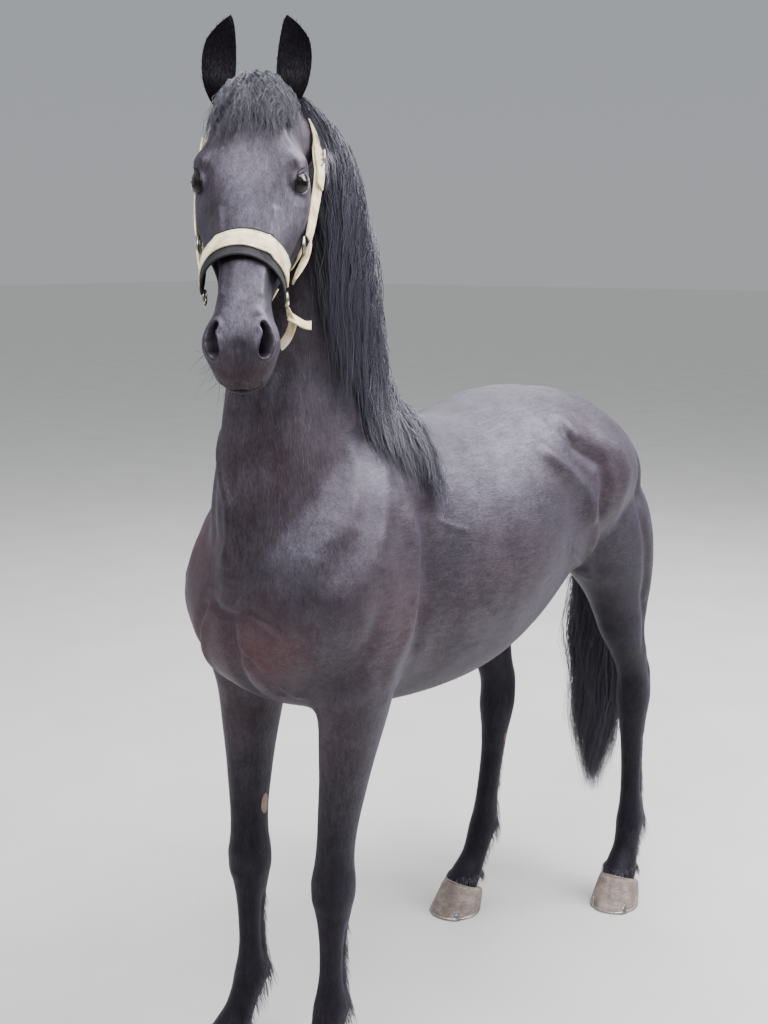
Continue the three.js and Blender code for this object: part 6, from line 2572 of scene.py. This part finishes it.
@dataclass
class Halter:
    """The halter: webbing straps with stitched edges, a padded noseband, rings and an adjuster.

    Places are given in the head's own frame, in mm: out to the left, along the face, up from it.
    """

    ground: Ground
    shift: Array
    thick: float = 3.4
    nose_along: float = 372.0
    nose_half: float = 80.0
    nose_deep: float = 96.0
    nose_shift: float = -7.0
    nose_lean: float = -13.0  # degrees
    nose_wide: float = 35.0
    pad_wide: float = 64.0
    crown: Table = ((103, 62, -112), (102, 40, -96), (96, 14, -80), (84, -8, -64), (62, -30, -44),
                    (30, -44, -32), (0, -50, -30), (-30, -44, -32), (-62, -30, -44),
                    (-84, -8, -64), (-96, 14, -80), (-102, 40, -96), (-103, 62, -112))
    cheek_left: Table = ((103, 274, -107), (108, 240, -107), (112, 200, -107), (116, 160, -107),
                         (117, 126, -106), (114, 100, -106), (110, 70, -104), (102, 44, -98))
    cheek_right: Table = ((-100, 274, -107), (-104, 240, -107), (-106, 200, -107),
                          (-107, 160, -107), (-106, 120, -107), (-104, 80, -108), (-102, 52, -104))
    jaw: Table = ((100, 297, -118), (96, 297, -140), (84, 297, -168), (60, 297, -196),
                  (24, 297, -208), (-24, 297, -208), (-60, 297, -196), (-84, 297, -168),
                  (-96, 297, -140), (-100, 297, -118))
    chin: Table = ((66, 393, -134), (62, 393, -146), (46, 393, -156), (20, 393, -160),
                   (-20, 393, -160), (-46, 393, -156), (-62, 393, -146), (-66, 393, -134))
    side: Table = ((105, 286, -106), (102, 304, -106), (96, 326, -106), (88, 348, -105),
                   (81, 368, -104))
    side_right: Table = ((-98, 286, -106), (-95, 304, -106), (-91, 326, -106), (-87, 348, -105),
                         (-84, 366, -104))
    end: Table = ((68, 402, -134), (72, 412, -148), (76, 422, -160), (66, 438, -180),
                  (52, 448, -196))
    end_tip: Table = ((70, 416, -142), (84, 420, -152), (98, 424, -160), (110, 424, -162))

    def build(self) -> dict[str, list[Piece]]:
        """Makes the halter.

        Returns:
            The pieces of each finish: webbing, padding and steel.
        """
        band = self.band("noseband", 0.0, self.thick, self.nose_wide, 0.0, False)
        pad = self.band("nose_pad", self.thick + 0.4, 6.0, self.pad_wide, 5.0, True)
        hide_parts("halter_noseband")
        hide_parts("halter_pad")
        webbing = [band]
        plan = (
            ("crown_strap", self.crown, 26.0, 0.0, True, "halter_crown_strap"),
            ("cheek_strap_left", self.cheek_left, 26.0, 32.0, False, "halter_cheek_left"),
            ("cheek_strap_right", self.cheek_right, 26.0, 12.0, False, "halter_cheek_right"),
            ("jaw_strap", self.jaw, 26.0, 0.0, True, "halter_jaw_strap"),
            ("chin_strap", self.chin, 26.0, 0.0, True, "halter_chin_strap"),
            ("side_strap_left", self.side, 24.0, 45.0, False, "halter_side_left"),
            ("strap_end", self.end, 21.0, 40.0, False, "halter_strap_end"),
        )
        for name, rows, wide, twist, laid, node in plan:
            strap = self.strap(name, rows, wide, twist, laid)
            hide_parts(node)
            webbing.append(strap)
        right = self.strap("side_strap_right", self.side_right, 22.0, -20.0, False)
        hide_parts("halter_side_right")
        webbing += [right, self.strap("strap_tip", self.end_tip, 20.0, 20.0, False)]
        webbing.append(self.strap("cheek_fold", tuple(
            (a + 5, b, c + 2) for a, b, c in self.cheek_left[3:]), 25.0, 32.0, False))
        steel = self.rings() + [self.adjuster()]
        return {"webbing": webbing, "padding": [pad], "steel": steel}

    def section(self, wide: float, thick: float) -> Array:
        """A strap's cross section: flat, with raised, rounded edges and a line of stitches.

        Args:
            wide: The strap's width.
            thick: Its thickness.

        Returns:
            Its points, across and out.
        """
        a, t = wide / 2, thick / 2
        top = ((a, 0), (a - 0.5, t * 0.8), (a - 1.6, t), (a - 3.2, t * 0.96), (a - 3.8, t * 0.62),
               (a - 4.4, t * 0.94), (a * 0.35, t), (-a * 0.35, t), (4.4 - a, t * 0.94),
               (3.8 - a, t * 0.62), (3.2 - a, t * 0.96), (1.6 - a, t), (0.5 - a, t * 0.8), (-a, 0))
        low = ((0.6 - a, -t * 0.8), (1.6 - a, -t), (-a * 0.35, -t), (a * 0.35, -t), (a - 1.6, -t),
               (a - 0.6, -t * 0.8))
        return np.array(top + low, float)

    def strap(self, name: str, rows: Table, wide: float, twist: float, laid: bool
              ) -> Piece:
        """A strap along rows of places.

        Args:
            name: The piece's name.
            rows: Places in the head's own frame.
            wide: Its width.
            twist: How far its face is turned to the front, in degrees.
            laid: Whether it lies on the skin all the way.

        Returns:
            The object.
        """
        count = 10 * len(rows)
        local = smooth_rows(rows, count)
        middle = on_head(local[:, 0], local[:, 1], local[:, 2])
        middle = eased(middle, 2)
        spots, ways = self.ground.nearest(middle)
        height = ((middle - spots) * ways).sum(-1)
        room = self.thick / 2 + 1.2
        if laid:
            middle = eased(spots + ways * room, 6)
        else:
            middle = middle + ways * np.clip(room - height, 0, 40)[:, None]
        outward = HEAD_AXES[:, 0] * np.sign(rows[0][0])
        if abs(unit(middle[-1] - middle[0]) @ outward) > 0.75:
            outward = HEAD_AXES[:, 2]
        out = np.tile(outward, (count, 1))
        face = unit(ways) if laid else unit(out + 0.25 * ways)
        for _ in range(8):
            face[1:-1] = unit(face[2:] + face[:-2] + face[1:-1])
        ahead = unit(np.gradient(middle, axis=0))
        across = unit(np.cross(ahead, face))
        face = np.cross(across, ahead)
        turn = math.radians(twist) * np.sin(np.pi * np.linspace(0.15, 0.85, count))
        c, s = np.cos(turn)[:, None], np.sin(turn)[:, None]
        across, face = across * c + face * s, face * c - across * s
        shape = self.section(wide, self.thick)
        wobble = 0.35 * np.sin(np.linspace(0, count * 0.9, count))[:, None]
        rings = (middle[:, None] + across[:, None] * shape[None, :, :1]
                 + face[:, None] * (shape[None, :, 1:] + wobble[:, None] * 0.3))
        return lofted(name, rings, self.shift, "webbing")

    def band(self, name: str, inset: float, thick: float, wide: float, low: float, padded: bool
             ) -> Piece:
        """A stiff band that rests on the bridge of the nose and stands clear at its sides.

        Args:
            name: The piece's name.
            inset: How far it lies inside the outer face of the noseband.
            thick: Its thickness.
            wide: Its width along the face.
            low: How far its middle is moved towards the nose.
            padded: Whether it swells between its edges.

        Returns:
            The object.
        """
        count = 341 if padded else 121
        turn = np.linspace(math.radians(-4), math.pi + math.radians(4), count)
        if padded:
            shape = self.pad_section(wide, thick)
        else:
            shape = self.section(wide, thick)
        mid = inset + thick / 2
        half, deep = self.nose_half - mid, self.nose_deep - mid
        out = np.stack([half * np.cos(turn), 0 * turn, deep * np.sin(turn)], -1)
        way = unit(np.stack([np.cos(turn) / half, 0 * turn, np.sin(turn) / deep], -1))
        along = np.array([0.0, -1.0, 0.0])
        ribs = 1 + 0.16 * np.sin(np.arange(count) * np.pi / 2)[:, None, None] * padded
        rings = (out[:, None] + along * (shape[None, :, :1] + low)
                 + way[:, None] * shape[None, :, 1:] * ribs)
        lean = math.radians(self.nose_lean)
        c, s = math.cos(lean), math.sin(lean)
        y, z = rings[..., 1] * c - rings[..., 2] * s, rings[..., 1] * s + rings[..., 2] * c
        rings = np.stack([rings[..., 0] + self.nose_shift, y - self.nose_along,
                          z + 9 - self.nose_deep], -1)
        places = POLL + rings @ HEAD_AXES.T
        base = 0.8 if padded else 7.2
        room = np.broadcast_to(base + thick / 2 + shape[None, :, 1], places.shape[:2])
        rings = self.ground.keep_out(places, room, 25.0)
        return lofted(name, rings, self.shift, "padding" if padded else "webbing")

    def pad_section(self, wide: float, thick: float) -> Array:
        """The pad's cross section: soft between two thin corded edges.

        Args:
            wide: The pad's width.
            thick: Its thickness.

        Returns:
            Its points, across and out.
        """
        turn = np.linspace(0, 2 * np.pi, 41)[:-1]
        a, t = wide / 2, thick / 2
        x = a * np.sign(np.cos(turn)) * np.abs(np.cos(turn)) ** 0.75
        z = t * np.sign(np.sin(turn)) * np.abs(np.sin(turn)) ** 0.6
        cord = 0.9 * np.exp(-((a - 2.2 - np.abs(x)) / 1.5) ** 2)
        groove = -0.7 * np.exp(-((a - 5.5 - np.abs(x)) / 1.2) ** 2)
        return np.stack([x, z + np.sign(z) * (cord + groove)], -1)

    def rings(self) -> list[Piece]:
        """The rings at the ends of the cheek straps and of the noseband.

        Returns:
            The objects.
        """
        made = []
        for way, side in ((1, "left"), (-1, "right")):
            for place, wide in (("cheek", 17.0), ("nose", 13.0)):
                node = f"halter_ring_{place}_{side}"
                middle = solid_middle(node, self.shift)
                if place == "nose" and way < 0:
                    middle = middle + HEAD_AXES @ np.array([-13.0, 5.0, 0.0])
                turn = circle(56)
                around = circle(14)
                axes = HEAD_AXES
                run = np.cos(turn)[:, None] * axes[:, 1] + np.sin(turn)[:, None] * axes[:, 2]
                ring = (middle + run[:, None] * (wide + 2.8 * np.cos(around))[None, :, None]
                        + axes[:, 0] * (2.8 * np.sin(around))[None, :, None])
                shell = Shell()
                shell.add_hoop(ring)
                piece = piece_of(f"ring_{place}_{side}", shell, self.shift, "steel")
                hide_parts(node)
                made.append(piece)
        return made

    def adjuster(self) -> Piece:
        """The flat frame on the left cheek strap, with a cross bar.

        Returns:
            The object.
        """
        middle = solid_middle("halter_adjuster", self.shift)
        shell = Shell()
        around = circle(12)
        turn = circle(64)
        a, b = 17.0, 13.0
        x = a * np.sign(np.cos(turn)) * np.abs(np.cos(turn)) ** 0.35
        y = b * np.sign(np.sin(turn)) * np.abs(np.sin(turn)) ** 0.35
        side = HEAD_AXES[:, 2] * 0.94 + HEAD_AXES[:, 0] * 0.34
        path = middle + x[:, None] * side + y[:, None] * HEAD_AXES[:, 1]
        ahead = unit(np.roll(path, -1, 0) - np.roll(path, 1, 0))
        across = unit(np.cross(ahead, HEAD_AXES[:, 0]))
        normal = np.cross(across, ahead)
        shell.add_hoop(path[:, None] + across[:, None] * (2.2 * np.cos(around))[None, :, None]
                 + normal[:, None] * (1.7 * np.sin(around))[None, :, None])
        bar = middle + np.linspace(-a + 1, a - 1, 12)[:, None] * side
        ring = (bar[:, None] + HEAD_AXES[:, 1] * (1.9 * np.cos(around))[None, :, None]
                + HEAD_AXES[:, 0] * (1.9 * np.sin(around))[None, :, None])
        shell.add_loft(ring)
        piece = piece_of("adjuster", shell, self.shift, "steel")
        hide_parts("halter_adjuster")
        return piece


@dataclass
class Studio:
    """A plain pale floor, soft light and the camera at the photograph's place."""

    shift: Array
    eye: tuple[float, float, float] = (1751.0, -2170.0, 1824.0)  # the camera, in mm
    turn: float = 37.13  # to the left of the horse's back, in degrees
    down: float = 11.09
    lens: float = 46.64

    def build(self) -> None:
        """Makes the floor, the lights and the camera."""
        self.floor()
        self.sky()
        self.light("key", (1.3, -3.3, 5.2), 2.8, 400)
        self.light("side", (3.2, 2.8, 5.0), 3.6, 730)
        self.light("fill", (-4.6, -2.6, 2.6), 3.0, 20)
        self.light("top", (0.4, 1.4, 5.4), 4.2, 570)
        self.light("rim", (-2.6, 4.2, 3.8), 2.6, 90)
        self.daylight()
        self.camera()

    def daylight(self) -> None:
        """Even light from a bright overcast sky above the whole floor."""
        lamp = bpy.data.lights.new("daylight", "SUN")
        lamp.energy = 1.3
        lamp.angle = math.radians(100)
        lamp.color = (0.95, 0.97, 1.0)
        linked("daylight", lamp).rotation_euler = (math.radians(12), math.radians(10), 0)

    def sky(self) -> None:
        """A soft, even dome that is brighter overhead than at the floor's edge."""
        world = bpy.data.worlds.new("studio")
        world.use_nodes = True
        world.node_tree.nodes.clear()
        place = add_node(world, "TexCoord").outputs["Generated"]
        height = add_node(world, "SeparateXYZ", Vector=place).outputs["Z"]
        colour = add_node(
            world, "ValToRGB", Fac=height,
            stops=((0.0, "d3d6db"), (0.35, "cdd3dc"), (0.9, "eef3ff"))).outputs["Color"]
        back = add_node(world, "Background", {"Strength": 0.6}, Color=colour)
        add_node(world, "OutputWorld", Surface=back.outputs[0])
        bpy.context.scene.world = world

    def floor(self) -> None:
        """A wide pale floor with a faint grain."""
        n, size = 41, 60.0
        grid = np.linspace(-size, size, n)
        points = [(x, y, 0.0) for y in grid for x in grid]
        faces = [(j * n + i, j * n + i + 1, (j + 1) * n + i + 1, (j + 1) * n + i)
                 for j in range(n - 1) for i in range(n - 1)]
        mesh = bpy.data.meshes.new("floor")
        mesh.from_pydata(points, [], faces)
        floor = linked("floor", mesh)
        material = new_material("matt_paint")
        place = add_node(material, "TexCoord").outputs["Object"]
        noise = add_node(material, "TexNoise", {"Scale": 3.0, "Detail": 5.0}, Vector=place)
        colour = add_node(
            material, "ValToRGB", Fac=noise.outputs["Fac"],
            stops=((0.2, "a6a59f"), (0.8, "afaea8"))).outputs["Color"]
        shader = add_node(material, "BsdfPrincipled", {"Roughness": 0.85}, Base_Color=colour)
        mesh.materials.append(finish_material(material, shader))

    def light(self, name: str, at: tuple[float, float, float], size: float, power: float) -> None:
        """A square soft light that faces the horse's chest.

        Args:
            name: Its name.
            at: Its place, in metres.
            size: Its side, in metres.
            power: Its strength, in watts.
        """
        lamp = bpy.data.lights.new(name, "AREA")
        lamp.size = size
        lamp.color = (0.94, 0.93, 1.0)
        lamp.energy = power
        holder = linked(name, lamp)
        holder.location = at
        aim = Vector((0.0, -0.2, 1.2)) - Vector(at)
        holder.rotation_euler = aim.to_track_quat("-Z", "Y").to_euler()

    def camera(self) -> None:
        """The camera, level from side to side."""
        data = bpy.data.cameras.new("camera")
        data.lens = self.lens
        data.sensor_width = 36
        data.clip_end = 100
        camera = linked("camera", data)
        camera.location = Vector(np.array(self.eye) * MM + self.shift)
        camera.rotation_euler = (math.radians(90 - self.down), 0, math.radians(self.turn))
        bpy.context.scene.camera = camera


def dress(pieces: Iterable[Piece], material: Finish) -> None:
    """Gives pieces one material."""
    for piece in pieces:
        piece.data.materials.clear()
        piece.data.materials.append(material)


# Brown places of the coat, in mm: middle, reach and how brown.
BROWN_PLACES = (
    ((-110, -340, 1060), 110, 0.95),
    ((60, -340, 1050), 90, 1.0),
    ((110, -320, 1060), 65, 0.9),
    ((-140, -320, 1240), 120, 0.8),
    ((60, -320, 1430), 120, 0.25),
    ((190, -120, 1100), 120, 0.45),
    ((80, -200, 860), 110, 0.45),
    ((-160, -200, 860), 110, 0.5),
    ((240, 700, 1150), 90, 0.3),
)


def set_coat_tone(piece: Piece, shift: Array, hollow: Array | float = 0.0) -> None:
    """Keeps the brown places, the lie of the hair, darker lips, and painted shade low on the body, in the
    nostrils, round the ears and under the forelock.

    Args:
        piece: The object.
        shift: Place of the horse's frame in the scene.
        hollow: How deep in a nostril each point lies, from 0 to 1; it sets painted shade there.
    """
    mesh = piece.data
    points = (mesh_points(mesh) - shift) / MM
    warm = np.zeros(len(points))
    for at, reach, most in BROWN_PLACES:
        warm = np.maximum(warm, most * np.exp(-(((points - np.array(at)) / reach) ** 2).sum(-1)))
    down = np.maximum(*leg_and_neck(points))
    local = head_local(points)
    lips = np.clip((local[:, 1] - 562) / 26, 0, 1) * on_face(points)
    warm = np.maximum(warm, 0.55 * lips)
    # Painted shade: the coat darkens downwards over the belly and legs, where less light falls; the lips
    # are darker skin of their own, and deep in a nostril the shade is painted.
    top = np.interp(points[:, 1], [300, 700], [1000, 1230])
    dark = 0.95 * np.clip((top - points[:, 2]) / 420, 0, 1)
    dark = np.maximum(np.maximum(dark, 0.5 * lips), np.clip(2.2 * hollow, 0, 1))
    # Painted shade round the roots of the ears and on the forehead under the forelock.
    ear = np.clip((-local[:, 1] - 6) / 40, 0, 1) * (local[:, 2] > -60) * (points[:, 2] > 2090)
    under = np.clip((122 - local[:, 1]) / 45, 0, 1) * np.clip((74 - np.abs(local[:, 0])) / 24, 0, 1)
    under = under * (local[:, 2] > -60) * (points[:, 2] > 1980)
    dark = np.maximum(np.maximum(dark, 0.9 * ear), 0.85 * under)
    face = np.clip((local[:, 1] - 20) / 80, 0, 1) * on_face(points)
    set_tone(mesh, "coat_tone_and_shade", np.stack([warm, down, dark, face], -1))


def main() -> None:
    """Builds the horse piece by piece."""
    logging.basicConfig(level=logging.INFO, format="%(name)s: %(message)s")
    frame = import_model()
    rng = np.random.default_rng(20)
    shift = horse_shift()
    Studio(shift).build()
    coat, long_hair = Coat().make(), LongHair().make()
    # Painted shade: the ears get a darker coat than the body, with almost no gloss.
    ear_coat = Coat("090709", "0f0d0f", "1a1211", 1.0, 0.02, 0.0, "dark_ear_coat").make()
    ear_hair = LongHair("080709", "0e0c0f", "161418", 0.7, 0.12, "fine_dark_hair").make()
    body = Body(shift)
    skin = body.build()
    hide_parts(*[n for n in frame["nodes"] if n in ("neck", "torso", "head")
                        or n.startswith(("leg_", "cannon_"))])
    set_coat_tone(skin, shift, body.hollow)
    dress([skin], coat)
    LOG.info("skin: %d faces", len(skin.data.polygons))
    ears = Ears(shift).build()
    # Every point of the ears gets the full painted shade of the coat tone.
    for ear in ears:
        set_coat_tone(ear, shift, 1.0)
    dress(ears, ear_coat)
    eyes = Eyes(shift).build()
    dress(eyes[::2], EyeFinish().make())
    dress(eyes[1::2], LidSkin().make())
    dress([Hooves(shift).build()], Horn().make())
    atlas = Atlas()
    ground = Ground.of([skin], shift)
    LOG.info("bare horse done")
    plan = (
        (Mane(ground, shift, atlas), long_hair),
        (Forelock(ground, shift, atlas), long_hair),
        (Tail(shift, atlas), long_hair),
        (Feather(ground, shift, atlas), long_hair),
        (FaceHair(ground, Ground.of(ears, shift), shift, atlas), ear_hair),
    )
    for part, material in plan:
        pieces = part.build(rng)
        dress(pieces, material)
        LOG.info("%s: %d pieces", type(part).__name__, len(pieces))
    fur = Fur(ground, shift, atlas).build(rng)
    for piece in fur:
        set_coat_tone(piece, shift)
    dress(fur, coat)
    webbing = Weave().make("cotton_webbing", "b8a67c", "dfcfa6", "f0e8cc", 0.85)
    padding = Weave().make("ribbed_padding", "0b0a0c", "131215", "1e1c20", 0.85)
    steel = Steel().make()
    dress([Shoes(shift).build()], steel)
    dress([Chestnuts(ground, shift).build()], Horn("5a4540", "7a625a", "988078").make())
    halter = Halter(ground, shift).build()
    dress(halter["webbing"], webbing)
    dress(halter["padding"], padding)
    dress(halter["steel"], steel)


if __name__ == "__main__":
    main()
